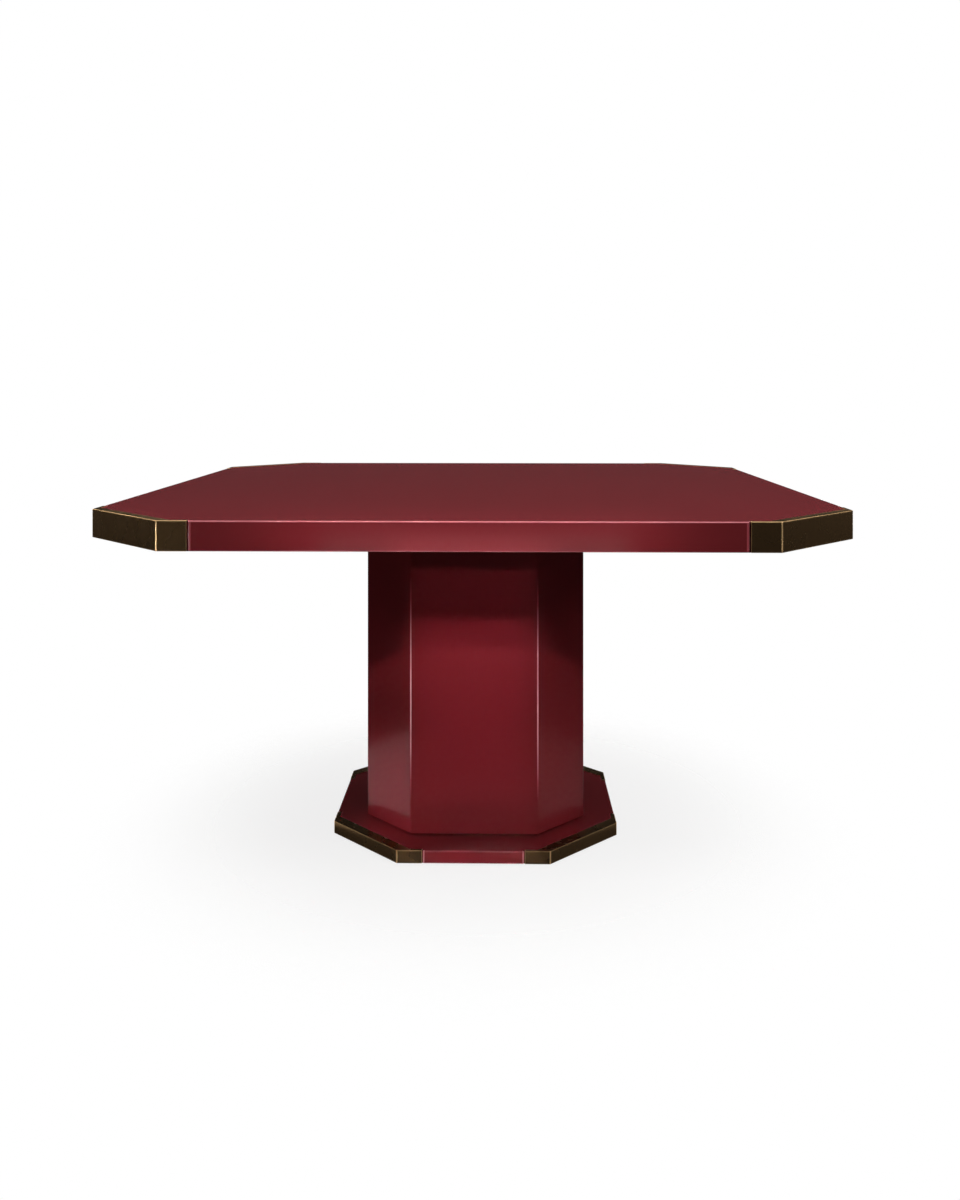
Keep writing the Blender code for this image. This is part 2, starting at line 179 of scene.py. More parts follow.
class TableSizes(bpy.types.PropertyGroup):
    """Sizes of the finished surfaces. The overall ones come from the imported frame."""

    top_width: length("Top width", "Width of the tabletop over its lacquered faces", TOP_HIGH.x - TOP_LOW.x)
    top_cut: length("Top cut", "How far each corner of the tabletop is cut along its sides", 0.172)
    strip_width: length("Edge width", "Width of the rim under the tabletop", STRIP_HIGH.y - STRIP_LOW.y)
    column_width: length("Column width", "Width of the column over its wide faces", -2 * PANEL_LOW.y)
    column_cut: length("Column cut", "How far each corner of the column is cut along its sides", 0.103)
    column_wall: length("Column wall", "Thickness of the column's panels", PANEL_HIGH.y - PANEL_LOW.y)
    column_arris: length("Column arris", "Radius of the column's rounded arrises", 0.006)
    # Between these heights the column's arrises carry wear and painted highlight, which fades out under the
    # top where the top shades the column
    wear_and_highlight_from: length("Rubbed from", "Height where the column's arrises begin to be rubbed", 0.105)
    wear_and_highlight_to: length("Rubbed to", "Height where the column's arrises are no longer rubbed", 0.575)
    plinth_width: length("Plinth width", "Width of the plinth over its faces", PLINTH_HIGH.x - PLINTH_LOW.x)
    plinth_cut: length("Plinth cut", "How far each corner of the plinth is cut along its sides", 0.150)
    edge_round: length("Edge rounding", "Radius of the lacquered boards' long edges", 0.0022)
    # Rubbed width: how far the wear and painted highlight reach past a rounded edge
    edge_fade: length("Rubbed width", "How far the rubbed lacquer reaches past a rounded edge", 0.0003)
    top_end_round: length("Top face ends", "Radius of the tabletop's faces beside the brass", 0.010)
    plinth_end_round: length("Plinth face ends", "Radius of the plinth's faces beside the brass", 0.005)
    brass_thickness: length("Brass thickness", "Thickness of the plate that makes the caps", 0.003)
    brass_proud: length("Brass proud", "How far the brass stands out of the lacquered faces", 0.0005)
    cap_return: length("Cap return", "Length of a cap along the sides beside its cut", 0.052)
    cap_lip: length("Cap lip", "Depth of a cap's lip over its returns", 0.008)
    cap_bend: length("Cap bend", "Outer radius of a cap's upright bends", 0.005)
    cap_edge: length("Cap edge", "Radius of a cap's rubbed edges", 0.0012)
    cap_end_gap: length("Cap end gap", "Gap between a cap's return and the lacquered face", 0.0005)
    top_flange: length("Top flange", "Depth of a top cap's flange over its cut", 0.020)
    plinth_flange: length("Plinth flange", "Depth of a plinth cap's flange over its cut", 0.024)
    seat_gap: length("Seat gap", "Gap between the brass and the rebate that it is glued into", 0.0003)
    bolt_radius: length("Bolt radius", "Radius of a bolt's shank", 0.004)
    bolt_head: length("Bolt head", "Half of a bolt head's width across its flats", 0.0065)
    bolt_head_height: length("Bolt head height", "Height of a bolt's hexagon", 0.006)
    bolt_flange: length("Bolt flange", "Radius of a bolt's flange", 0.009)
    bolt_flange_height: length("Bolt flange height", "Thickness of a bolt's flange at its rim", 0.002)
    bolt_chamfer: length("Bolt chamfer", "Chamfer on a bolt's head, flange and end", 0.001)
    counterbore_margin: length("Counterbore margin", "Room round a bolt's flange in the plinth", 0.003)
    glide_pin: length("Glide pin", "Radius of a floor glide's pin", 0.0015)


class TableColours(bpy.types.PropertyGroup):
    """Colours of the finishes and of the studio."""

    lacquer: colour("Lacquer", "Burgundy lacquer on the faces", "#691E23")
    lacquer_deep: colour("Deep lacquer", "Burgundy lacquer where it lies thicker", "#651C20")
    # Brighter red and pale pink lines along the edges: partly rubbed lacquer, partly painted highlight
    lacquer_thin_and_highlit: colour("Thin lacquer", "Lacquer rubbed a little, brighter and redder", "#9C424A")
    lacquer_rubbed_and_highlit: colour("Rubbed lacquer", "Lacquer rubbed pale along the edges", "#DC9CA2")
    # Painted shade: a near black line where the lacquer meets the brass
    lacquer_crevice_shade: colour("Lacquer crevice", "Dark line between the lacquer and the brass", "#1C060A")
    brass_dark: colour("Dark brass", "Brown patina on the brass", "#4C3A25")
    brass_light: colour("Light brass", "Thinner patina on the brass", "#523F29")
    brass_edge: colour("Slanting brass", "What the patina mirrors when seen at a slant", "#ECD9C6")
    # Bright brass along bends and edges: partly polished brass, partly painted highlight
    brass_polished_and_highlit: colour("Rubbed brass", "Brass polished bright along bends and edges", "#ECC48E")
    plywood: colour("Plywood", "Sanded birch plywood", "#C6A477")
    plywood_dark: colour("Plywood latewood", "Darker grain and glue lines in the plywood", "#9A7145")
    zinc: colour("Zinc", "Zinc plating on the fasteners", "#B4B6B8")
    nylon: colour("Nylon", "Black moulded nylon of the glides", "#232324")
    floor: colour("Floor", "Pale painted studio floor", "#EFEEEC")
    floor_bounce: colour("Floor bounce", "How the floor colours the light that it throws back", "#8A8886")
    flag: colour("Studio flags", "Charcoal screens round the table", "#4A4745")


class StageSettings(bpy.types.PropertyGroup):
    """Camera and studio."""

    camera_place: bpy.props.FloatVectorProperty(
        name="Camera place",
        description="Where the camera stands",
        default=(0.0571, -2.5592, 0.9789),
        unit="LENGTH",
    )
    camera_turn: bpy.props.FloatProperty(
        name="Camera turn",
        description="How far the level camera is turned to its left",
        default=0.018,
        subtype="ANGLE",
    )
    floor_radius: length("Floor radius", "Radius of the floor disc", 6.0)
    flag_radius: length("Flag radius", "Distance of the studio's screens from the table's axis", 3.6)
    flag_height: length("Flag height", "Height of the studio's screens", 2.6)
    flag_shade: amount("Flag shade", "Brightness of the dark cloth in reflections", 0.03)
    flag_band_shade: amount("Band shade", "Brightness of the screens' paler band in reflections", 0.29)
    band_bottom: length("Band bottom", "Height where the screens' paler band begins", 0.2)
    band_full_from: length("Band full from", "Height where the paler band is at its palest", 0.3)
    band_full_to: length("Band full to", "Height where the paler band begins to fade again", 0.6)
    band_top: length("Band top", "Height where the screens' paler band ends", 0.9)
    cloth_radius: length("Cloth radius", "Where the screens' cloth on the floor begins", 0.4)
    cloth_drop: length("Cloth drop", "How far the cloth lies below the floor's surface", 0.002)
    floor_fade_from: length("Floor fade from", "Distance from the axis where the floor begins to fade", 0.4)
    floor_fade_to: length("Floor fade to", "Distance from the axis where the floor has faded out", 0.9)
    floor_white: share("Floor white", "How much of the floor's look is plain white", 0.8)
    floor_mirrored: share("Floor in gloss", "How much of that white the gloss of the table mirrors", 0.2)
    ambient: amount("Ambient light", "Strength of the soft light from all round", 1.4)


# Node helpers


def add(tree, kind, sockets=None, **settings):
    """Adds a node. Settings are its properties; sockets are its inputs, as values, outputs or other nodes.

    A node that is given as an input stands for the first of its outputs that is in use.
    """
    node = tree.nodes.new(kind)
    for name, value in settings.items():
        setattr(node, name, value)
    for name, value in (sockets or {}).items():
        if isinstance(value, bpy.types.Node):
            value = next(output for output in value.outputs if output.enabled)
        if isinstance(value, bpy.types.NodeSocket):
            tree.links.new(value, node.inputs[name])
        else:
            node.inputs[name].default_value = value
    return node


def per_metre(millimetres):
    """The texture scale whose features are about this large."""
    return 1000 / millimetres


def new_material(name):
    """An empty material; gives it, its node tree and the place on the object that its patterns follow."""
    made = bpy.data.materials.new(name)
    made.use_nodes = True
    tree = made.node_tree
    tree.nodes.clear()
    return made, tree, add(tree, "ShaderNodeTexCoord").outputs["Object"]


# Kinds of ray, beside the camera's own, that show how a surface looks
MIRRORED_RAYS = ("Is Glossy Ray", "Is Transmission Ray")

# Inputs of the Mix node when it mixes colours
MIX_A = 6
MIX_B = 7


def any_ray(tree, path, *kinds):
    """One for a ray of any of these kinds, and nothing for another."""
    seen = path.outputs[kinds[0]]
    for kind in kinds[1:]:
        seen = add(tree, "ShaderNodeMath", {0: seen, 1: path.outputs[kind]}, operation="MAXIMUM")
    return seen


def patchy_wear_and_highlight(tree, worn_and_lit, place, size, least):
    """How strongly an edge carries its wear and painted highlight: as it is marked, and down to the least
    share in patches of this many mm.
    """
    patches = add(tree, "ShaderNodeTexNoise", {"Vector": place, "Scale": per_metre(size), "Detail": 2.0})
    patchy = add(
        tree,
        "ShaderNodeMapRange",
        {"Value": patches, "From Min": PATCH_FROM, "From Max": PATCH_FULL, "To Min": least},
    )
    return add(tree, "ShaderNodeMath", {0: worn_and_lit, 1: patchy}, operation="MULTIPLY", use_clamp=True)


def polished_burgundy_lacquer(colours):
    """Sprayed burgundy lacquer, flatted and polished on board.

    The eye sees a deep even red under a clear gloss, with slow clouds in its depth and a faint orange peel
    in the reflections. Along the edges runs a line that is partly rubbed lacquer and partly a painted
    highlight, redder, then pale, and beside the brass a painted shade darkens the crevice.
    """
    made, tree, place = new_material("polished_burgundy_lacquer")
    clouds = add(tree, "ShaderNodeTexNoise", {"Vector": place, "Scale": per_metre(140), "Detail": 3.0})
    worn_and_lit = add(tree, "ShaderNodeAttribute", attribute_name="edge_wear_and_highlight").outputs["Fac"]
    rubbed = patchy_wear_and_highlight(tree, worn_and_lit, place, size=50, least=0.82)
    # The edge mark turns the lacquer brighter red, then pale pink: partly rubbed lacquer, partly painted
    # highlight
    thin_and_highlit = add(tree, "ShaderNodeMapRange", {"Value": rubbed, "From Max": THIN_WEAR_AND_HIGHLIGHT})
    pale_and_highlit = add(tree, "ShaderNodeMapRange", {"Value": rubbed, "From Min": THIN_WEAR_AND_HIGHLIGHT})
    # Painted shade: where the edge mark falls below nothing, in the crevice beside the brass, the lacquer
    # is darkened
    crevice = add(tree, "ShaderNodeMapRange", {"Value": worn_and_lit, "From Max": -1.0})
    base = colours.lacquer_deep
    for cover, tint in (
        (clouds, colours.lacquer),
        (thin_and_highlit, colours.lacquer_thin_and_highlit),
        (pale_and_highlit, colours.lacquer_rubbed_and_highlit),
        (crevice, colours.lacquer_crevice_shade),
    ):
        base = add(tree, "ShaderNodeMix", {0: cover, MIX_A: base, MIX_B: tint}, data_type="RGBA")
    smears = add(tree, "ShaderNodeTexNoise", {"Vector": place, "Scale": per_metre(60), "Detail": 5.0})
    gloss = add(
        tree,
        "ShaderNodeMapRange",
        {"Value": smears, "From Min": NOISE_LOW, "From Max": NOISE_HIGH, "To Min": 0.12, "To Max": 0.16},
    )
    dulled = add(
        tree, "ShaderNodeMath", {0: rubbed, 1: LACQUER_DULLING, 2: gloss}, operation="MULTIPLY_ADD"
    )
    peel = add(tree, "ShaderNodeTexNoise", {"Vector": place, "Scale": per_metre(7), "Detail": 1.0})
    relief = add(tree, "ShaderNodeBump", {"Height": peel, "Strength": 0.06, "Distance": 0.0004})
    shader = add(
        tree,
        "ShaderNodeBsdfPrincipled",
        {
            "Base Color": base,
            "Roughness": dulled,
            "Normal": relief,
            "IOR": 1.5,
            "Specular IOR Level": 0.1,
        },
    )
    add(tree, "ShaderNodeOutputMaterial", {"Surface": shader})
    return made


def patinated_brass(colours):
    """Folded brass plate with a brown wax patina.

    The eye sees dark satin metal with slow brown clouds and fine upright rubbing marks, and bright brass
    along the bends and edges, partly polished through and partly a painted highlight.
    """
    made, tree, place = new_material("patinated_brass")
    clouds = add(tree, "ShaderNodeTexNoise", {"Vector": place, "Scale": per_metre(60), "Detail": 3.0})
    patina = add(
        tree,
        "ShaderNodeMix",
        {0: clouds, MIX_A: colours.brass_dark, MIX_B: colours.brass_light},
        data_type="RGBA",
    )
    worn_and_lit = add(tree, "ShaderNodeAttribute", attribute_name="edge_wear_and_highlight").outputs["Fac"]
    rubbed = patchy_wear_and_highlight(tree, worn_and_lit, place, size=30, least=0.8)
    # The edge mark brightens the brass along bends and edges: partly polish, partly painted highlight
    base = add(
        tree, "ShaderNodeMix", {0: rubbed, MIX_A: patina, MIX_B: colours.brass_polished_and_highlit}, data_type="RGBA"
    )
    gloss = add(
        tree,
        "ShaderNodeMapRange",
        {"Value": clouds, "From Min": NOISE_LOW, "From Max": NOISE_HIGH, "To Min": 0.24, "To Max": 0.32},
    )
    satin = add(tree, "ShaderNodeMath", {0: rubbed, 1: BRASS_DULLING, 2: gloss}, operation="MULTIPLY_ADD")
    metal = add(tree, "ShaderNodeMapRange", {"Value": rubbed, "To Min": 0.85})
    strokes = add(
        tree, "ShaderNodeMapping", {"Vector": place, "Scale": (per_metre(3), per_metre(3), per_metre(30))}
    )
    marks = add(tree, "ShaderNodeTexNoise", {"Vector": strokes, "Scale": 1.0, "Detail": 2.0})
    relief = add(tree, "ShaderNodeBump", {"Height": marks, "Strength": 0.015, "Distance": 0.0002})
    shader = add(
        tree,
        "ShaderNodeBsdfPrincipled",
        {
            "Base Color": base,
            "Roughness": satin,
            "Normal": relief,
            "Metallic": metal,
            "Specular IOR Level": 0.2,
            "Specular Tint": colours.brass_edge,
        },
    )
    add(tree, "ShaderNodeOutputMaterial", {"Surface": shader})
    return made


def sanded_birch_plywood(colours):
    """Bare birch plywood, sawn and sanded.

    The eye sees pale straight grain on the faces, and thin plies on the sawn edges, light and dark in turn.
    """
    made, tree, place = new_material("sanded_birch_plywood")
    along = add(
        tree, "ShaderNodeMapping", {"Vector": place, "Scale": (per_metre(160), per_metre(5), per_metre(5))}
    )
    fibres = add(tree, "ShaderNodeTexNoise", {"Vector": along, "Scale": 1.0, "Detail": 5.0})
    grain = add(
        tree, "ShaderNodeMapRange", {"Value": fibres, "From Min": 0.35, "From Max": 0.75, "To Max": 0.6}
    )
    height = add(tree, "ShaderNodeSeparateXYZ", {"Vector": place}).outputs["Z"]
    plies = add(tree, "ShaderNodeMath", {0: height, 1: per_metre(3)}, operation="MULTIPLY")
    ply = add(tree, "ShaderNodeMath", {0: plies}, operation="FRACT")
    dark_ply = add(tree, "ShaderNodeMath", {0: ply, 1: LIGHT_PLY}, operation="GREATER_THAN")
    normal = add(tree, "ShaderNodeNewGeometry").outputs["Normal"]
    facing = add(tree, "ShaderNodeSeparateXYZ", {"Vector": normal}).outputs["Z"]
    level = add(tree, "ShaderNodeMath", {0: facing}, operation="ABSOLUTE")
    upright = add(tree, "ShaderNodeMath", {0: level, 1: EDGE_LEVEL}, operation="LESS_THAN")
    edge = add(tree, "ShaderNodeMath", {0: dark_ply, 1: upright}, operation="MULTIPLY")
    shade = add(tree, "ShaderNodeMath", {0: grain, 1: edge}, operation="MAXIMUM")
    base = add(
        tree,
        "ShaderNodeMix",
        {0: shade, MIX_A: colours.plywood, MIX_B: colours.plywood_dark},
        data_type="RGBA",
    )
    relief = add(tree, "ShaderNodeBump", {"Height": fibres, "Strength": 0.2, "Distance": 0.0005})
    shader = add(
        tree, "ShaderNodeBsdfPrincipled", {"Base Color": base, "Roughness": 0.62, "Normal": relief}
    )
    add(tree, "ShaderNodeOutputMaterial", {"Surface": shader})
    return made


def grained_finish(name, tint, grain_size, detail, rough, relief, metallic):
    """A finish of one colour whose gloss and surface vary with a grain of this size in millimetres."""
    made, tree, place = new_material(name)
    scale = per_metre(grain_size)
    low, high = rough
    grain = add(tree, "ShaderNodeTexNoise", {"Vector": place, "Scale": scale, "Detail": detail})
    gloss = add(
        tree,
        "ShaderNodeMapRange",
        {"Value": grain, "From Min": NOISE_LOW, "From Max": NOISE_HIGH, "To Min": low, "To Max": high},
    )
    bumps = add(tree, "ShaderNodeBump", {"Height": grain, "Strength": relief, "Distance": 0.0002})
    shader = add(
        tree,
        "ShaderNodeBsdfPrincipled",
        {"Base Color": tint, "Roughness": gloss, "Normal": bumps, "Metallic": metallic},
    )
    add(tree, "ShaderNodeOutputMaterial", {"Surface": shader})
    return made


def zinc_plated_steel(colours):
    """Cold-headed steel with bright zinc plating: a cool grey metal with a slightly cloudy gloss."""
    return grained_finish(
        "bright_zinc_plated_steel",
        colours.zinc,
        grain_size=4,
        detail=4.0,
        rough=(0.26, 0.45),
        relief=0.1,
        metallic=1.0,
    )


def moulded_black_nylon(colours):
    """Injection moulded nylon, scuffed by the floor: near black, with a fine grain and a dull sheen."""
    return grained_finish(
        "moulded_black_nylon",
        colours.nylon,
        grain_size=2,
        detail=3.0,
        rough=(0.45, 0.65),
        relief=0.2,
        metallic=0.0,
    )


def pale_painted_floor(colours, stage):
    """Matt floor paint: pale to the eye and in reflections, fading into the white background.

    It throws little light back up at the table, and from below it is clear.
    """
    made, tree, place = new_material("pale_painted_floor")
    path = add(tree, "ShaderNodeLightPath")
    seen = any_ray(tree, path, "Is Camera Ray", *MIRRORED_RAYS)
    paint = add(tree, "ShaderNodeBsdfDiffuse", {"Color": colours.floor})
    brightness = add(
        tree,
        "ShaderNodeMapRange",
        {"Value": path.outputs["Is Camera Ray"], "To Min": stage.floor_mirrored},
    )
    white = add(tree, "ShaderNodeEmission", {"Strength": brightness})
    pale = add(tree, "ShaderNodeMixShader", {0: stage.floor_white, 1: paint, 2: white})
    bounce = add(tree, "ShaderNodeBsdfDiffuse", {"Color": colours.floor_bounce})
    lit = add(tree, "ShaderNodeMixShader", {0: seen, 1: bounce, 2: pale})
    reach = add(tree, "ShaderNodeVectorMath", {0: place}, operation="LENGTH")
    fade = add(
        tree,
        "ShaderNodeMapRange",
        {"Value": reach, "From Min": stage.floor_fade_from, "From Max": stage.floor_fade_to},
        interpolation_type="SMOOTHSTEP",
    )
    below = add(tree, "ShaderNodeNewGeometry").outputs["Backfacing"]
    gone = add(tree, "ShaderNodeMath", {0: fade, 1: below}, operation="MAXIMUM")
    clear = add(tree, "ShaderNodeBsdfTransparent")
    surface = add(tree, "ShaderNodeMixShader", {0: gone, 1: lit, 2: clear})
    add(tree, "ShaderNodeOutputMaterial", {"Surface": surface})
    return made


def charcoal_flag(colours, stage):
    """Matt charcoal cloth on the studio's screens, with a paler band between knee and table height.

    Reflections see it at a set brightness: the lacquer mirrors the dark cloth and the brass the band.
    """
    made, tree, place = new_material("charcoal_flag")
    seen = any_ray(tree, add(tree, "ShaderNodeLightPath"), *MIRRORED_RAYS)
    height = add(tree, "ShaderNodeSeparateXYZ", {"Vector": place}).outputs["Z"]
    rise = add(
        tree,
        "ShaderNodeMapRange",
        {"Value": height, "From Min": stage.band_bottom, "From Max": stage.band_full_from},
    )
    fall = add(
        tree,
        "ShaderNodeMapRange",
        {"Value": height, "From Min": stage.band_top, "From Max": stage.band_full_to},
    )
    band = add(tree, "ShaderNodeMath", {0: rise, 1: fall}, operation="MULTIPLY")
    shade = add(
        tree,
        "ShaderNodeMapRange",
        {"Value": band, "To Min": stage.flag_shade, "To Max": stage.flag_band_shade},
    )
    cloth = add(tree, "ShaderNodeBsdfDiffuse", {"Color": colours.flag})
    mirrored = add(tree, "ShaderNodeEmission", {"Strength": shade})
    surface = add(tree, "ShaderNodeMixShader", {0: seen, 1: cloth, 2: mirrored})
    add(tree, "ShaderNodeOutputMaterial", {"Surface": surface})
    return made


MATERIAL_MAKERS = {
    "burgundy_lacquer": polished_burgundy_lacquer,
    "aged_brass": patinated_brass,
    "birch_plywood": sanded_birch_plywood,
    "zinc_plated_steel": zinc_plated_steel,
    "black_nylon": moulded_black_nylon,
}
made_materials = {}


def finish_for(slot):
    """The finish of one of the record's material slots, made the first time it is asked for."""
    if slot not in made_materials:
        made_materials[slot] = MATERIAL_MAKERS[slot](bpy.context.scene.table_colours)
    return made_materials[slot]


# Node trees


def new_tree(name, inputs):
    """An empty geometry tree with inputs of these kinds; gives the tree and its inputs' sockets."""
    tree = bpy.data.node_groups.new(name, "GeometryNodeTree")
    for label, kind in inputs.items():
        tree.interface.new_socket(label, in_out="INPUT", socket_type="NodeSocket" + kind)
    tree.interface.new_socket("Geometry", in_out="OUTPUT", socket_type="NodeSocketGeometry")
    return tree, add(tree, "NodeGroupInput").outputs


def finish_tree(tree, geometry, finish):
    """Ends a geometry tree: its copies become real and take their finish."""
    real = add(tree, "GeometryNodeRealizeInstances", {"Geometry": geometry})
    dressed = add(tree, "GeometryNodeSetMaterial", {"Geometry": real, "Material": finish})
    add(tree, "NodeGroupOutput", {"Geometry": dressed})
    return tree


def turned_copies_tree():
    """Repeats a piece round the table's axis, as the caps, bolts and glides are."""
    inputs = {"Piece": "Geometry", "Count": "Int", "Finish": "Material"}
    tree, given = new_tree("turned_copies", inputs)
    points = add(tree, "GeometryNodePoints", {"Count": given["Count"]})
    index = add(tree, "GeometryNodeInputIndex")
    step = add(tree, "ShaderNodeMath", {0: 2 * math.pi, 1: given["Count"]}, operation="DIVIDE")
    turn = add(tree, "ShaderNodeMath", {0: index, 1: step}, operation="MULTIPLY")
    angles = add(tree, "ShaderNodeCombineXYZ", {"Z": turn})
    rotation = add(tree, "FunctionNodeEulerToRotation", {"Euler": angles})
    copies = add(
        tree,
        "GeometryNodeInstanceOnPoints",
        {"Points": points, "Instance": given["Piece"], "Rotation": rotation},
    )
    return finish_tree(tree, copies, given["Finish"])


def octagonal_column_tree():
    """A square outline with cut corners, drawn up in steps from the plinth to the top."""
    inputs = {"Width": "Float", "Cut": "Float", "Steps": "Int", "Bottom": "Float", "Top": "Float"}
    tree, given = new_tree("octagonal_column", inputs | {"Finish": "Material"})
    square = add(
        tree, "GeometryNodeCurvePrimitiveQuadrilateral", {"Width": given["Width"], "Height": given["Width"]}
    )
    octagon = add(
        tree,
        "GeometryNodeFilletCurve",
        {"Curve": square, "Radius": given["Cut"], "Count": 1},
        mode="POLY",
    )
    foot = add(tree, "ShaderNodeCombineXYZ", {"Z": given["Bottom"]})
    head = add(tree, "ShaderNodeCombineXYZ", {"Z": given["Top"]})
    axis = add(tree, "GeometryNodeCurvePrimitiveLine", {"Start": foot, "End": head})
    stepped = add(tree, "GeometryNodeResampleCurve", {"Curve": axis, "Count": given["Steps"]})
    walls = add(tree, "GeometryNodeCurveToMesh", {"Curve": stepped, "Profile Curve": octagon})
    return finish_tree(tree, walls, given["Finish"])


def arris_wear_and_highlight_tree():
    """Marks an octagonal column along its arrises with wear and a painted highlight.

    The mark is nothing on the flats and grows by how far the surface has turned between them. It fades in
    above the plinth and out again under the top, where the top shades the column, so the painted highlight
    follows that shade. It is fainter on the arrises beside the left and right faces than on those beside
    the front and back faces.
    """
    inputs = {"Column": "Geometry", "Wear And Highlight From": "Float", "Wear And Highlight To": "Float", "Side Wear And Highlight": "Float"}
    tree, given = new_tree("arris_wear_and_highlight", inputs | {"Finish": "Material"})
    facing = add(tree, "ShaderNodeSeparateXYZ", {"Vector": add(tree, "GeometryNodeInputNormal")}).outputs
    heading = add(tree, "ShaderNodeMath", {0: facing["Y"], 1: facing["X"]}, operation="ARCTAN2")
    folded = add(tree, "ShaderNodeMath", {0: heading, 1: math.pi / CORNER_TURN}, operation="MULTIPLY")
    swing = add(tree, "ShaderNodeMath", {0: folded}, operation="SINE")
    turned = add(tree, "ShaderNodeMath", {0: swing}, operation="ABSOLUTE")
    arris = add(
        tree, "ShaderNodeMapRange", {"Value": turned, "From Min": ARRIS_FROM, "From Max": ARRIS_FULL}
    )
    spot = add(tree, "ShaderNodeSeparateXYZ", {"Vector": add(tree, "GeometryNodeInputPosition")}).outputs
    low_end = add(tree, "ShaderNodeMath", {0: given["Wear And Highlight From"], 1: ARRIS_MARK_FADE_LOW}, operation="ADD")
    rise = add(
        tree,
        "ShaderNodeMapRange",
        {"Value": spot["Z"], "From Min": given["Wear And Highlight From"], "From Max": low_end},
    )
    high_end = add(tree, "ShaderNodeMath", {0: given["Wear And Highlight To"], 1: ARRIS_MARK_FADE_HIGH}, operation="SUBTRACT")
    fall = add(
        tree,
        "ShaderNodeMapRange",
        {"Value": spot["Z"], "From Min": given["Wear And Highlight To"], "From Max": high_end},
    )
    across = add(tree, "ShaderNodeMath", {0: spot["X"]}, operation="ABSOLUTE")
    along = add(tree, "ShaderNodeMath", {0: spot["Y"]}, operation="ABSOLUTE")
    aside = add(tree, "ShaderNodeMath", {0: across, 1: along}, operation="GREATER_THAN")
    placing = add(tree, "ShaderNodeMapRange", {"Value": aside, "To Min": 1.0, "To Max": given["Side Wear And Highlight"]})
    rubbed = arris
    for limit in (rise, fall, placing):
        rubbed = add(tree, "ShaderNodeMath", {0: rubbed, 1: limit}, operation="MULTIPLY")
    marked = add(
        tree,
        "GeometryNodeStoreNamedAttribute",
        {"Geometry": given["Column"], "Name": "edge_wear_and_highlight", "Value": rubbed},
        data_type="FLOAT",
        domain="POINT",
    )
    return finish_tree(tree, marked, given["Finish"])


def new_object(name, data):
    """A new object in the scene."""
    obj = bpy.data.objects.new(name, data)
    bpy.context.scene.collection.objects.link(obj)
    return obj


def evaluated_mesh(obj):
    """An object's mesh with its modifiers, as a plain mesh; the object is removed."""
    graph = bpy.context.evaluated_depsgraph_get()
    mesh = bpy.data.meshes.new_from_object(
        obj.evaluated_get(graph), preserve_all_data_layers=True, depsgraph=graph
    )
    bpy.data.objects.remove(obj)
    return mesh


def mesh_from_nodes(tree, inputs, mesh):
    """The plain mesh that a node tree makes of a mesh, with its inputs given by name."""
    holder = new_object(mesh.name, mesh)
    modifier = holder.modifiers.new(tree.name, "NODES")
    modifier.node_group = tree
    for item in tree.interface.items_tree:
        if item.in_out == "INPUT" and item.name in inputs:
            modifier[item.identifier] = inputs[item.name]
    return evaluated_mesh(holder)


# Meshes


def mesh_of(bm, name):
    """A new mesh from an edit mesh, which is freed."""
    mesh = bpy.data.meshes.new(name)
    bm.to_mesh(mesh)
    bm.free()
    return mesh


def stacked_mesh(name, rings, wear_and_highlight_along):
    """A closed mesh from rings of (outline, z, wear), all with the same number of points, listed upwards.

    Each point keeps the larger of its ring's wear and painted highlight and of the marks along the outline.
    A negative mark along the outline is a painted shade in a crevice and is kept as it is. A ring whose
    wear is
    None bounds a flat and has none at all. Points that coincide are merged, so a ring may repeat its own
    points or those below it.
    """
    bm = bmesh.new()
    worn_and_lit = bm.verts.layers.float.new("edge_wear_and_highlight")
    loops = []
    for outline, z, ring_wear in rings:
        loop = [bm.verts.new((point[0], point[1], z)) for point in outline]
        for vert, point_wear in zip(loop, wear_and_highlight_along):
            if ring_wear is None:
                vert[worn_and_lit] = 0.0
            elif point_wear < 0:
                vert[worn_and_lit] = point_wear
            else:
                vert[worn_and_lit] = max(ring_wear, point_wear)
        loops.append(loop)
    bm.faces.new(reversed(loops[0]))
    bm.faces.new(loops[-1])
    count = len(wear_and_highlight_along)
    for lower, upper in zip(loops, loops[1:]):
        for i in range(count):
            j = (i + 1) % count
            bm.faces.new((lower[i], lower[j], upper[j], upper[i]))
    bmesh.ops.remove_doubles(bm, verts=bm.verts, dist=SAME_POINT)
    mesh = mesh_of(bm, name)
    mesh.shade_smooth()
    mesh.set_sharp_from_angle(angle=SHARP_ANGLE)
    return mesh


def finished_piece(name, mesh, slot, replaced):
    """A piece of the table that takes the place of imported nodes, with its large faces shaded flat."""
    mesh.name = name
    if not mesh.materials:
        mesh.materials.append(finish_for(slot))
    obj = new_object(name, mesh)
    normals = obj.modifiers.new("flat_faces", "WEIGHTED_NORMAL")
    normals.keep_sharp = True
    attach(obj, BODY)
    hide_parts(*replaced)
    return obj


def repeated_piece(name, mesh, slot, replaced):
    """A piece made of four copies of a mesh, turned round the table's axis."""
    inputs = {"Count": len(replaced), "Finish": finish_for(slot)}
    return finished_piece(name, mesh_from_nodes(turned_copies_tree(), inputs, mesh), slot, replaced)


def named(stem, ends):
    """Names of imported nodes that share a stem."""
    return [f"{stem}_{end}" for end in ends]


def circle(radius):
    """A circle with the points of a turned shape."""
    angles = [2 * math.pi * i / TURNED_SIDES for i in range(TURNED_SIDES)]
    return [(radius * math.cos(a), radius * math.sin(a)) for a in angles]


def hexagon(radius):
    """A hexagon of this radius to its flats, on as many points as a circle."""
    points = []
    for x, y in circle(1.0):
        from_flat = math.remainder(math.atan2(y, x), math.pi / 3)
        reach = radius / math.cos(from_flat)
        points.append((reach * x, reach * y))
    return points


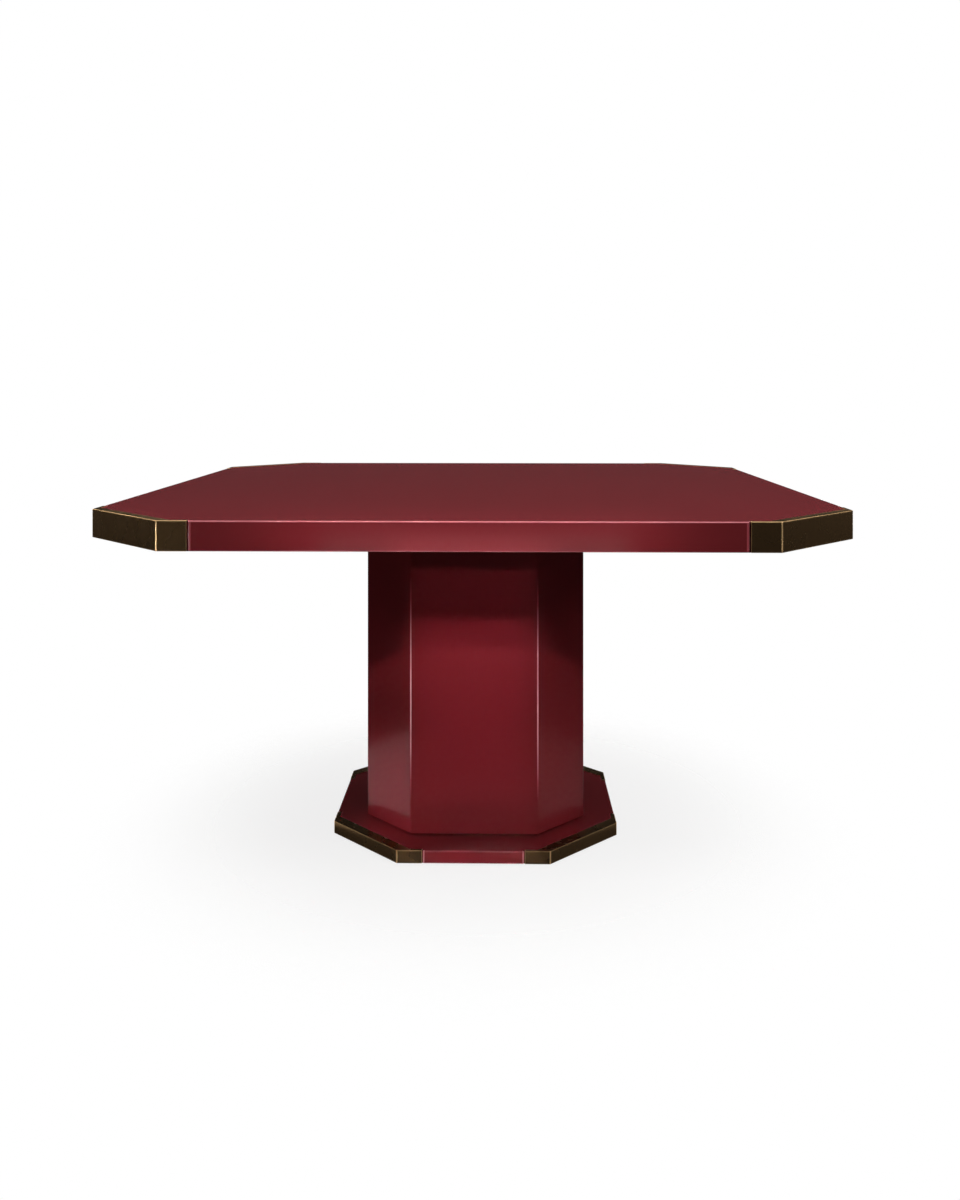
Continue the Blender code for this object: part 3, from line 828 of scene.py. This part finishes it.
def across_corner(points):
    """The same points on the other side of the front-right corner's diagonal."""
    return [Vector((-point.y, -point.x)) for point in reversed(points)]


def whole_outline(right):
    """The outline of all four sides from the right half of the front one."""
    left = [Vector((-point.x, point.y)) for point in reversed(right)]
    turns = [Matrix.Rotation(k * QUARTER_TURN, 2) for k in range(len(SIDES))]
    return [turn @ point for turn in turns for point in left + right]


def rounding(radius):
    """(inset, rise, wear and painted highlight) over a quarter round, from the upright face to the flat
    one.
    """
    triples = []
    for i in range(ROUND_STEPS + 1):
        turn = QUARTER_TURN * i / ROUND_STEPS
        wear = LEAST_EDGE_WEAR_AND_HIGHLIGHT + (1 - LEAST_EDGE_WEAR_AND_HIGHLIGHT) * math.sin(math.pi * i / ROUND_STEPS)
        triples.append((radius * (1 - math.cos(turn)), radius * math.sin(turn), wear))
    return triples


class CappedBoard:
    """A lacquered board whose cut corners are rebated for brass caps, worked out for its front side."""

    def __init__(self, sizes, width, cut, flange, end_round, rub):
        self.sizes = sizes
        self.edge_rub, self.end_rub, self.cap_wear_and_lit = rub
        self.half = width / 2
        self.cut = cut
        self.flange = flange
        self.end_round = end_round
        self.rebate = sizes.brass_thickness - sizes.brass_proud + sizes.seat_gap
        self.return_end = self.half - cut - sizes.cap_return
        self.face_end = self.return_end - sizes.cap_end_gap
        self.arc_x = self.face_end - end_round * math.sin(self.turn_to_floor(0.0))
        self.arc_y = -self.half + end_round

    def corner(self, inset):
        """Where the front meets the front-right cut, with both moved in by inset."""
        return Vector((self.half - self.cut - inset * HALF_TAN, -self.half + inset))

    def flange_corner(self, lip, flange):
        """Where the lip line along the front meets the flange line along the front-right cut."""
        return Vector((self.half - self.cut - flange * ROOT_TWO + lip, -self.half + lip))

    def turn_to_floor(self, inset):
        """How far a rounded face end turns before it reaches the rebate's floor, at most a quarter."""
        cosine = (self.end_round - self.rebate) / (self.end_round - inset)
        return math.acos(min(max(cosine, 0.0), 1.0))

    def face_end_arc(self, inset, full_turn):
        """The rounded right end of the front's face, which turns this far towards the brass."""
        radius = self.end_round - inset
        turns = [full_turn * i / ARC_STEPS for i in range(ARC_STEPS + 1)]
        return [
            Vector((self.arc_x + radius * math.sin(a), self.arc_y - radius * math.cos(a))) for a in turns
        ]

    def rebated_side(self, inset=0.0):
        """The front side below the caps' flanges: its face, and the rebate floors at both ends."""
        arc = self.face_end_arc(inset, self.turn_to_floor(inset))
        foot = Vector((arc[-1].x, -self.half + self.rebate))
        right = arc + [foot, self.corner(self.rebate)]
        return whole_outline(right)

    def flanged_side(self, inset=0.0):
        """The front side at the level of the caps' flanges, which are let into the board from above."""
        wall = self.face_end - inset
        full_turn = math.asin((wall - self.arc_x) / (self.end_round - inset))
        arc = self.face_end_arc(inset, full_turn)
        lip = self.sizes.cap_lip + self.sizes.seat_gap + inset
        corner = self.flange_corner(lip, self.flange + self.sizes.seat_gap + inset)
        right = arc + [Vector((wall, -self.half + lip)), corner]
        return whole_outline(right)

    def plain_side(self, inset):
        """The front side as one straight line, with as many points as the others have."""
        return whole_outline([self.corner(inset)] * HALF_SIDE_POINTS)

    def wear_and_highlight_along(self):
        """Wear and painted highlight along the outline, most where the face ends begin to turn towards the
        brass.

        It falls below nothing at their very ends, which marks a painted shade in the crevice beside the
        brass.
        """
        right = []
        for i in range(ARC_STEPS + 1):
            way = i / ARC_STEPS
            right.append(self.end_rub * math.sin(math.pi * math.sqrt(way)) - way**CREVICE_SHADE_POWER)
        right += [0.0, 0.0]
        return (right[::-1] + right) * len(SIDES)

    def shell_mesh(self, name, bottom, top, recess_top=None, recess_inset=0.0):
        """The lacquered board, rounded along its edges and marked there with wear and painted highlight,
        with a recess under it if it has one.
        """
        edge = self.sizes.edge_round
        fade = self.sizes.edge_fade
        ledge = top - self.rebate
        rings = []
        if recess_top is not None:
            recess = self.plain_side(recess_inset)
            rings += [(recess, recess_top, None), (recess, bottom, None)]
        rings.append((self.rebated_side(edge + fade), bottom, None))
        for inset, rise, wear in reversed(rounding(edge)):
            rings.append((self.rebated_side(inset), bottom + edge - rise, self.edge_rub * wear))
        rings.append((self.rebated_side(), bottom + edge + fade, 0.0))
        rings.append((self.rebated_side(), top - edge - fade, 0.0))
        rings += [(self.rebated_side(), ledge, LEDGE_WEAR_AND_HIGHLIGHT), (self.flanged_side(), ledge, LEDGE_WEAR_AND_HIGHLIGHT)]
        for inset, rise, wear in rounding(edge):
            rings.append((self.flanged_side(inset), top - edge + rise, self.edge_rub * wear))
        rings.append((self.flanged_side(edge + fade), top, None))
        return stacked_mesh(name, rings, self.wear_and_highlight_along())

    def cap_mesh(self, name, bottom, top):
        """A brass cap: a wall bent round the cut corner, a lip over each return and a flange between."""
        sizes = self.sizes
        edge = sizes.cap_edge
        turns = [i / ARC_STEPS for i in range(ARC_STEPS + 1)]

        def outer(inset):
            """The cap's outer face, from the end of one return round both bends to the other."""
            radius = max(edge - inset, 0.0)
            end = Vector((
                self.return_end + inset + radius,
                -self.half - sizes.brass_proud + inset + radius,
            ))
            bend = self.corner(sizes.cap_bend - sizes.brass_proud)
            reach = sizes.cap_bend - inset
            edge_turns = [QUARTER_TURN * t for t in turns]
            bend_turns = [CORNER_TURN * t for t in turns]
            run = [end - radius * Vector((math.cos(a), math.sin(a))) for a in edge_turns]
            run += [bend + reach * Vector((math.sin(a), -math.cos(a))) for a in bend_turns]
            return run + across_corner(run)

        def inner(inset, depth, corner):
            """The way back along a face at this depth, on as many points."""
            end = Vector((self.return_end + inset, -self.half + depth))
            run = [end] * len(turns) + [corner] * len(turns)
            return list(reversed(run + across_corner(run)))

        wall_depth = sizes.brass_thickness - sizes.brass_proud
        wall_corner = self.corner(wall_depth)
        flange_corner = self.flange_corner(sizes.cap_lip, self.flange)

        def walled(inset):
            return outer(inset) + inner(inset, wall_depth, wall_corner)

        def flanged(inset):
            return outer(inset) + inner(inset, sizes.cap_lip, flange_corner)

        top = top + sizes.brass_proud
        under = top - sizes.brass_thickness
        rings = []
        for inset, rise, wear in reversed(rounding(edge)):
            rings.append((walled(inset), bottom + edge - rise, self.cap_wear_and_lit * wear))
        rings.append((walled(0.0), bottom + 2 * edge, 0.0))
        rings += [(walled(0.0), under, 0.0), (flanged(0.0), under, 0.0)]
        for inset, rise, wear in rounding(edge):
            rings.append((flanged(inset), top - edge + rise, self.cap_wear_and_lit * wear))
        rings.append((flanged(2 * edge), top, None))
        # Bends and return ends carry the strongest mark: partly polished brass, partly painted highlight
        swells = [math.sin(math.pi * t) for t in turns]
        half_polish_and_highlight = [CAP_END_WEAR_AND_HIGHLIGHT * swell for swell in swells] + [math.sqrt(swell) for swell in swells]
        outer_polish_and_highlight = half_polish_and_highlight + half_polish_and_highlight[::-1]
        return stacked_mesh(name, rings, outer_polish_and_highlight + [0.0] * len(outer_polish_and_highlight))


def top_outline(sizes):
    """The tabletop with its edge strips, as one board with caps."""
    return CappedBoard(
        sizes, sizes.top_width, sizes.top_cut, sizes.top_flange, sizes.top_end_round, TOP_WEAR_AND_HIGHLIGHT
    )


def plinth_outline(sizes):
    """The plinth as a board with caps."""
    return CappedBoard(
        sizes, sizes.plinth_width, sizes.plinth_cut, sizes.plinth_flange, sizes.plinth_end_round, PLINTH_WEAR_AND_HIGHLIGHT
    )


# Operators, one for each piece or group of like pieces


class TABLE_OT_tabletop(bpy.types.Operator):
    """Makes the lacquered tabletop with its deep edge as one finished shell"""

    bl_idname = "table.tabletop"
    bl_label = "Lacquered tabletop"

    def execute(self, context):
        sizes = context.scene.table_sizes
        board = top_outline(sizes)
        mesh = board.shell_mesh("tabletop", STRIP_LOW.z, TOP_HIGH.z, TOP_LOW.z, sizes.strip_width)
        replaced = ["top_board"] + named("edge_strip", SIDES) + named("corner_strip", CORNERS)
        finished_piece("lacquered_tabletop", mesh, "burgundy_lacquer", replaced)
        return {"FINISHED"}


class TABLE_OT_brass_caps(bpy.types.Operator):
    """Folds the brass caps of the tabletop and of the plinth"""

    bl_idname = "table.brass_caps"
    bl_label = "Brass corner caps"

    def execute(self, context):
        sizes = context.scene.table_sizes
        top_cap = top_outline(sizes).cap_mesh("top_cap", STRIP_LOW.z, TOP_HIGH.z)
        plinth_cap = plinth_outline(sizes).cap_mesh("plinth_cap", PLINTH_LOW.z, PLINTH_HIGH.z)
        repeated_piece("top_brass_caps", top_cap, "aged_brass", named("top_cap", CORNERS))
        repeated_piece("plinth_brass_caps", plinth_cap, "aged_brass", named("plinth_cap", CORNERS))
        return {"FINISHED"}


class TABLE_OT_column(bpy.types.Operator):
    """Draws up the lacquered octagonal column as one hollow shell"""

    bl_idname = "table.column"
    bl_label = "Lacquered column"

    def execute(self, context):
        sizes = context.scene.table_sizes
        finish = finish_for("burgundy_lacquer")
        inputs = {
            "Width": sizes.column_width,
            "Cut": sizes.column_cut,
            "Steps": COLUMN_STEPS,
            "Bottom": PANEL_LOW.z,
            "Top": PANEL_HIGH.z,
            "Finish": finish,
        }
        mesh = mesh_from_nodes(octagonal_column_tree(), inputs, bpy.data.meshes.new("column"))
        bm = bmesh.new()
        bm.from_mesh(mesh)
        bmesh.ops.remove_doubles(bm, verts=bm.verts, dist=SAME_POINT)
        bmesh.ops.recalc_face_normals(bm, faces=bm.faces)
        # Recalculated normals may all look inwards
        if sum(face.normal.xy.dot(face.calc_center_median().xy) for face in bm.faces) < 0:
            bmesh.ops.reverse_faces(bm, faces=bm.faces)
        bm.to_mesh(mesh)
        bm.free()
        tube = new_object("column", mesh)
        wall = tube.modifiers.new("wall", "SOLIDIFY")
        wall.thickness = sizes.column_wall
        wall.offset = -1.0
        wall.use_even_offset = True
        arrises = tube.modifiers.new("arrises", "BEVEL")
        arrises.width = sizes.column_arris * HALF_TAN
        arrises.segments = ROUND_STEPS
        arrises.limit_method = "ANGLE"
        arrises.angle_limit = CORNER_TURN / 2
        rub = {
            "Wear And Highlight From": sizes.wear_and_highlight_from,
            "Wear And Highlight To": sizes.wear_and_highlight_to,
            "Side Wear And Highlight": SIDE_WEAR_AND_HIGHLIGHT,
            "Finish": finish,
        }
        mesh = mesh_from_nodes(arris_wear_and_highlight_tree(), rub, evaluated_mesh(tube))
        mesh.shade_smooth()
        mesh.set_sharp_from_angle(angle=SHARP_ANGLE)
        replaced = named("column_panel", SIDES) + named("column_panel", CORNERS)
        finished_piece("lacquered_column", mesh, "burgundy_lacquer", replaced)
        return {"FINISHED"}


class TABLE_OT_plinth(bpy.types.Operator):
    """Makes the lacquered plinth, counterbored from below for its bolts"""

    bl_idname = "table.plinth"
    bl_label = "Lacquered plinth"

    def execute(self, context):
        sizes = context.scene.table_sizes
        mesh = plinth_outline(sizes).shell_mesh("plinth", PLINTH_LOW.z, PLINTH_HIGH.z)
        mesh.materials.append(finish_for("burgundy_lacquer"))
        seat = PLINTH_BOLT_LOW.z + sizes.bolt_head_height + sizes.bolt_flange_height + sizes.seat_gap
        reach = (PLINTH_BOLT_LOW.y + PLINTH_BOLT_HIGH.y) / 2
        bore = circle(sizes.bolt_flange + sizes.counterbore_margin)
        placed = [(x, y + reach) for x, y in bore]
        plain = [0.0] * len(placed)
        cutter_mesh = stacked_mesh("bore", [(placed, -PLINTH_HIGH.z, 0.0), (placed, seat, 0.0)], plain)
        inputs = {"Count": len(SIDES), "Finish": finish_for("burgundy_lacquer")}
        bores = mesh_from_nodes(turned_copies_tree(), inputs, cutter_mesh)
        cutter = new_object("counterbores", bores)
        board = new_object("plinth", mesh)
        drilled = board.modifiers.new("counterbores", "BOOLEAN")
        drilled.object = cutter
        mesh = evaluated_mesh(board)
        bpy.data.objects.remove(cutter)
        finished_piece("lacquered_plinth", mesh, "burgundy_lacquer", ["plinth_board"])
        return {"FINISHED"}


class TABLE_OT_bolts(bpy.types.Operator):
    """Makes the flange bolts that hold the top and the plinth"""

    bl_idname = "table.bolts"
    bl_label = "Flange bolts"

    def bolt_mesh(self, sizes, low, high):
        """A hexagon bolt with a coned flange, head down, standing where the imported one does."""
        chamfer = sizes.bolt_chamfer
        seat = low.z + sizes.bolt_head_height + sizes.bolt_flange_height
        rim = seat - sizes.bolt_flange_height / 2
        cone = seat - sizes.bolt_flange_height - chamfer
        corner = sizes.bolt_head / math.cos(math.pi / 6)
        outlines = [
            (circle(sizes.bolt_head - chamfer / 2), low.z),
            (hexagon(sizes.bolt_head), low.z + chamfer),
            (hexagon(sizes.bolt_head), cone),
            (circle(corner + chamfer / 4), cone),
            (circle(sizes.bolt_flange - chamfer / 4), rim),
            (circle(sizes.bolt_flange), rim + chamfer / 4),
            (circle(sizes.bolt_flange), seat),
            (circle(sizes.bolt_radius), seat),
            (circle(sizes.bolt_radius), high.z - chamfer),
            (circle(sizes.bolt_radius - chamfer), high.z),
        ]
        reach = (low.y + high.y) / 2
        rings = [([(x, y + reach) for x, y in outline], z, 0.0) for outline, z in outlines]
        return stacked_mesh("bolt", rings, [0.0] * TURNED_SIDES)

    def execute(self, context):
        sizes = context.scene.table_sizes
        top_bolt = self.bolt_mesh(sizes, TOP_BOLT_LOW, TOP_BOLT_HIGH)
        plinth_bolt = self.bolt_mesh(sizes, PLINTH_BOLT_LOW, PLINTH_BOLT_HIGH)
        repeated_piece("top_bolts", top_bolt, "zinc_plated_steel", named("top_bolt", SIDES))
        repeated_piece("plinth_bolts", plinth_bolt, "zinc_plated_steel", named("plinth_bolt", SIDES))
        return {"FINISHED"}


class TABLE_OT_floor_glides(bpy.types.Operator):
    """Makes the nylon glides under the plinth"""

    bl_idname = "table.floor_glides"
    bl_label = "Floor glides"

    def execute(self, context):
        sizes = context.scene.table_sizes
        middle = (GLIDE_LOW + GLIDE_HIGH) / 2
        radius = (GLIDE_HIGH.x - GLIDE_LOW.x) / 2
        top = PLINTH_LOW.z - sizes.seat_gap
        edge = (top - GLIDE_LOW.z) / 2
        rounded = reversed(rounding(edge))
        profile = [(radius - inset, GLIDE_LOW.z + edge - rise) for inset, rise, _ in rounded]
        profile += [(radius, top), (sizes.glide_pin, top), (sizes.glide_pin, GLIDE_HIGH.z)]
        rings = [([(x + middle.x, y + middle.y) for x, y in circle(r)], z, 0.0) for r, z in profile]
        glide = stacked_mesh("glide", rings, [0.0] * TURNED_SIDES)
        repeated_piece("floor_glides", glide, "black_nylon", named("floor_glide", CORNERS))
        return {"FINISHED"}


class TABLE_OT_inner_boards(bpy.types.Operator):
    """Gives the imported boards, battens, screws and inserts their finishes"""

    bl_idname = "table.inner_boards"
    bl_label = "Inner boards and screws"

    def execute(self, context):
        battens = named("corner_batten", [f"{corner}_{number}" for corner in CORNERS for number in (1, 2)])
        boards = ["mounting_board", "head_board", "foot_board"] + battens
        steel = named("head_screw", SIDES) + named("top_insert", SIDES)
        for slot, nodes in (("birch_plywood", boards), ("zinc_plated_steel", steel)):
            for node in nodes:
                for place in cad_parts[node].material_slots:
                    place.material = finish_for(slot)
        return {"FINISHED"}


class TABLE_OT_stage(bpy.types.Operator):
    """Sets up the floor, the screens, the lights and the photograph's camera"""

    bl_idname = "table.stage"
    bl_label = "Studio stage"

    def softbox(self, name, place, aim, size, power, spread=180):
        """A light of this width and height that looks at its aim and that the camera doesn't see."""
        light = bpy.data.lights.new(name, "AREA")
        light.shape = "RECTANGLE"
        light.size, light.size_y = size
        light.energy = power
        light.spread = math.radians(spread)
        lamp = new_object(name, light)
        lamp.location = place
        lamp.rotation_euler = (Vector(aim) - Vector(place)).to_track_quat("-Z", "Y").to_euler()
        lamp.visible_camera = False
        return lamp

    def floor_card(self, name, place, turn, size, power):
        """A lit card lying on the floor, turned by these degrees."""
        card = self.softbox(name, place, Vector(place) + Vector((0, 0, 1)), size, power)
        card.rotation_euler = (math.pi, 0, math.radians(turn))

    def strip_box(self, name, aim, turn, lift, distance, size, power, spread):
        """A gridded box standing off from its aim, turned from the front and lifted by these degrees."""
        level = distance * math.cos(math.radians(lift))
        offset = Vector((
            level * math.sin(math.radians(turn)),
            -level * math.cos(math.radians(turn)),
            distance * math.sin(math.radians(lift)),
        ))
        self.softbox(name, Vector(aim) + offset, aim, size, power, spread)

    def floor_and_flags(self, context):
        """A pale floor, and a ring of dark screens that the camera doesn't see but the gloss mirrors."""
        stage = context.scene.table_stage
        colours = context.scene.table_colours
        bm = bmesh.new()
        bmesh.ops.create_circle(bm, cap_ends=True, radius=stage.floor_radius, segments=FLOOR_SIDES)
        floor_mesh = mesh_of(bm, "studio_floor")
        floor_mesh.materials.append(pale_painted_floor(colours, stage))
        bm = bmesh.new()
        profile = [
            (stage.cloth_radius, -stage.cloth_drop),
            (stage.flag_radius, -stage.cloth_drop),
            (stage.flag_radius, stage.flag_height),
        ]
        points = [bm.verts.new((radius, 0, z)) for radius, z in profile]
        run = [bm.edges.new(pair) for pair in zip(points, points[1:])]
        bmesh.ops.spin(
            bm, geom=points + run, axis=(0, 0, 1), angle=2 * math.pi, steps=FLAG_SIDES, use_merge=True
        )
        flag_mesh = mesh_of(bm, "studio_flags")
        flag_mesh.materials.append(charcoal_flag(colours, stage))
        for mesh in (floor_mesh, flag_mesh):
            obj = new_object(mesh.name, mesh)
            obj.visible_camera = mesh is floor_mesh

    def white_world(self, context):
        """White to the camera and in reflections, and a soft light of its own strength otherwise."""
        world = bpy.data.worlds.new("studio_world")
        world.use_nodes = True
        tree = world.node_tree
        tree.nodes.clear()
        seen = any_ray(tree, add(tree, "ShaderNodeLightPath"), "Is Camera Ray", *MIRRORED_RAYS)
        ambient = context.scene.table_stage.ambient
        strength = add(tree, "ShaderNodeMapRange", {"Value": seen, "To Min": ambient})
        sky = add(tree, "ShaderNodeBackground", {"Color": (1, 1, 1, 1), "Strength": strength})
        add(tree, "ShaderNodeOutputWorld", {"Surface": sky})
        context.scene.world = world

    def photograph_camera(self, context):
        """A level camera whose lens shift gives the photograph's upright column."""
        stage = context.scene.table_stage
        camera = bpy.data.cameras.new("photograph_camera")
        camera.sensor_width = SENSOR
        camera.lens = FOCAL_PIXELS * SENSOR / FRAME_HEIGHT
        camera.shift_x = (FRAME_WIDTH / 2 - CENTRE_X) / FRAME_HEIGHT
        camera.shift_y = (CENTRE_Y - FRAME_HEIGHT / 2) / FRAME_HEIGHT
        viewer = new_object("photograph_camera", camera)
        viewer.location = stage.camera_place
        viewer.rotation_euler = (QUARTER_TURN, 0, stage.camera_turn)
        context.scene.camera = viewer

    def execute(self, context):
        self.floor_and_flags(context)
        self.white_world(context)
        self.photograph_camera(context)
        # Broad boxes and cards, and narrow lights on the column's right corner and on the front caps
        for name, place, aim, size, power, spread in (
            ("rear_overhead", (0, 0.7, 2.6), (0, 0.3, TOP_HIGH.z), (1.8, 1.0), 19, 180),
            ("front_overhead", (0, -1.6, 2.2), (0, -0.7, 0.7), (1.0, 0.4), 3.0, 80),
            ("front_card", (0, -3.2, 0.45), (0, -0.7, 0.72), (1.2, 0.16), 0.3, 180),
            ("near_card", (0, -1.15, 0.625), (0, -0.7, 0.85), (0.65, 0.08), 0.088, 60),
            ("left_front_card", (-1.6, -3.1, 0.45), (-0.5, -0.7, 0.72), (0.7, 0.3), 0.9, 180),
            ("right_softbox", (2.3, -1.05, 2.0), (0.2, -0.2, 0.4), (0.6, 1.6), 22, 180),
            ("right_kicker", (2.0, -2.0, 0.35), (0.185, -0.185, 0.38), (0.3, 0.3), 0.03, 14),
            ("left_bend_light", (-2.47, -1.73, 0.46), (-0.53, -0.69, 0.724), (0.25, 0.25), 0.06, 10),
            ("left_edge_light", (-2.35, 0.73, 1.93), (-0.61, -0.61, 0.75), (0.4, 0.4), 0.06, 10),
            ("right_bend_light", (2.47, -1.73, 0.46), (0.53, -0.69, 0.724), (0.25, 0.25), 0.006, 10),
        ):
            self.softbox(name, place, aim, size, power, spread)
        # Cards on the floor beside the plinth, and fills behind
        for side, way, power in (("left", -1, 1.06), ("right", 1, 0.27)):
            place = (0.636 * way, -0.25, 0.012)
            self.floor_card(f"{side}_floor_card", place, turn=-35 * way, size=(0.61, 0.43), power=power)
        for side, way in (("left", -1), ("right", 1)):
            place = (1.9 * way, 2.4, 0.5)
            self.softbox(f"{side}_rear_fill", place, aim=(0, 0, 0.5), size=(0.8, 0.5), power=12)
        # Gridded boxes that the column, the top's edge and the plinth's edge mirror
        for name, aim, turn, lift, distance, size, power, spread in (
            ("low_front_strip", (0, -0.237, 0.507), 0, 12.8, 1.3, (0.27, 0.205), 0.0362, 4),
            ("high_front_strip", (0, -0.237, 0.279), 0, 25.4, 1.3, (0.265, 0.375), 0.272, 7),
            ("edge_strip_light", (0, -0.7, 0.72), 0, 30, 1.2, (0.68, 0.05), 0.21, 12),
            ("plinth_strip", (-0.015, -0.307, 0.015), 0, 4, 1.2, (0.3, 0.05), 0.048, 5),
            ("left_corner_strip", (-0.185, -0.185, 0.105), -45, 34.6, 1.6, (0.15, 0.17), 0.075, 6),
            ("left_high_strip", (-0.185, -0.185, 0.3), -45, 20.6, 1.6, (0.15, 0.5), 0.01, 6),
            ("right_corner_strip", (0.185, -0.185, 0.13), 45, 34.6, 1.6, (0.15, 0.22), 0.036, 6),
        ):
            self.strip_box(name, aim, turn, lift, distance, size, power, spread)
        context.scene.view_settings.view_transform = "Standard"
        return {"FINISHED"}


OPERATORS = (
    TABLE_OT_stage,
    TABLE_OT_tabletop,
    TABLE_OT_brass_caps,
    TABLE_OT_column,
    TABLE_OT_plinth,
    TABLE_OT_bolts,
    TABLE_OT_floor_glides,
    TABLE_OT_inner_boards,
)


class TABLE_PT_sidebar(bpy.types.Panel):
    """Lists the table's pieces and its sizes and colours"""

    bl_label = "Pedestal table"
    bl_space_type = "VIEW_3D"
    bl_region_type = "UI"
    bl_category = "Table"

    def draw(self, context):
        for operator in OPERATORS:
            self.layout.operator(operator.bl_idname)
        for group in (context.scene.table_sizes, context.scene.table_colours, context.scene.table_stage):
            box = self.layout.box()
            for name in group.__annotations__:
                box.prop(group, name)


CLASSES = (TableSizes, TableColours, StageSettings, *OPERATORS, TABLE_PT_sidebar)


def register():
    for cls in CLASSES:
        bpy.utils.register_class(cls)
    bpy.types.Scene.table_sizes = bpy.props.PointerProperty(type=TableSizes)
    bpy.types.Scene.table_colours = bpy.props.PointerProperty(type=TableColours)
    bpy.types.Scene.table_stage = bpy.props.PointerProperty(type=StageSettings)


def unregister():
    del bpy.types.Scene.table_stage
    del bpy.types.Scene.table_colours
    del bpy.types.Scene.table_sizes
    for cls in reversed(CLASSES):
        bpy.utils.unregister_class(cls)


def main():
    register()
    bpy.ops.table.stage()
    bpy.ops.table.tabletop()
    bpy.ops.table.brass_caps()
    bpy.ops.table.column()
    bpy.ops.table.plinth()
    bpy.ops.table.bolts()
    bpy.ops.table.floor_glides()
    bpy.ops.table.inner_boards()


if __name__ == "__main__":
    main()
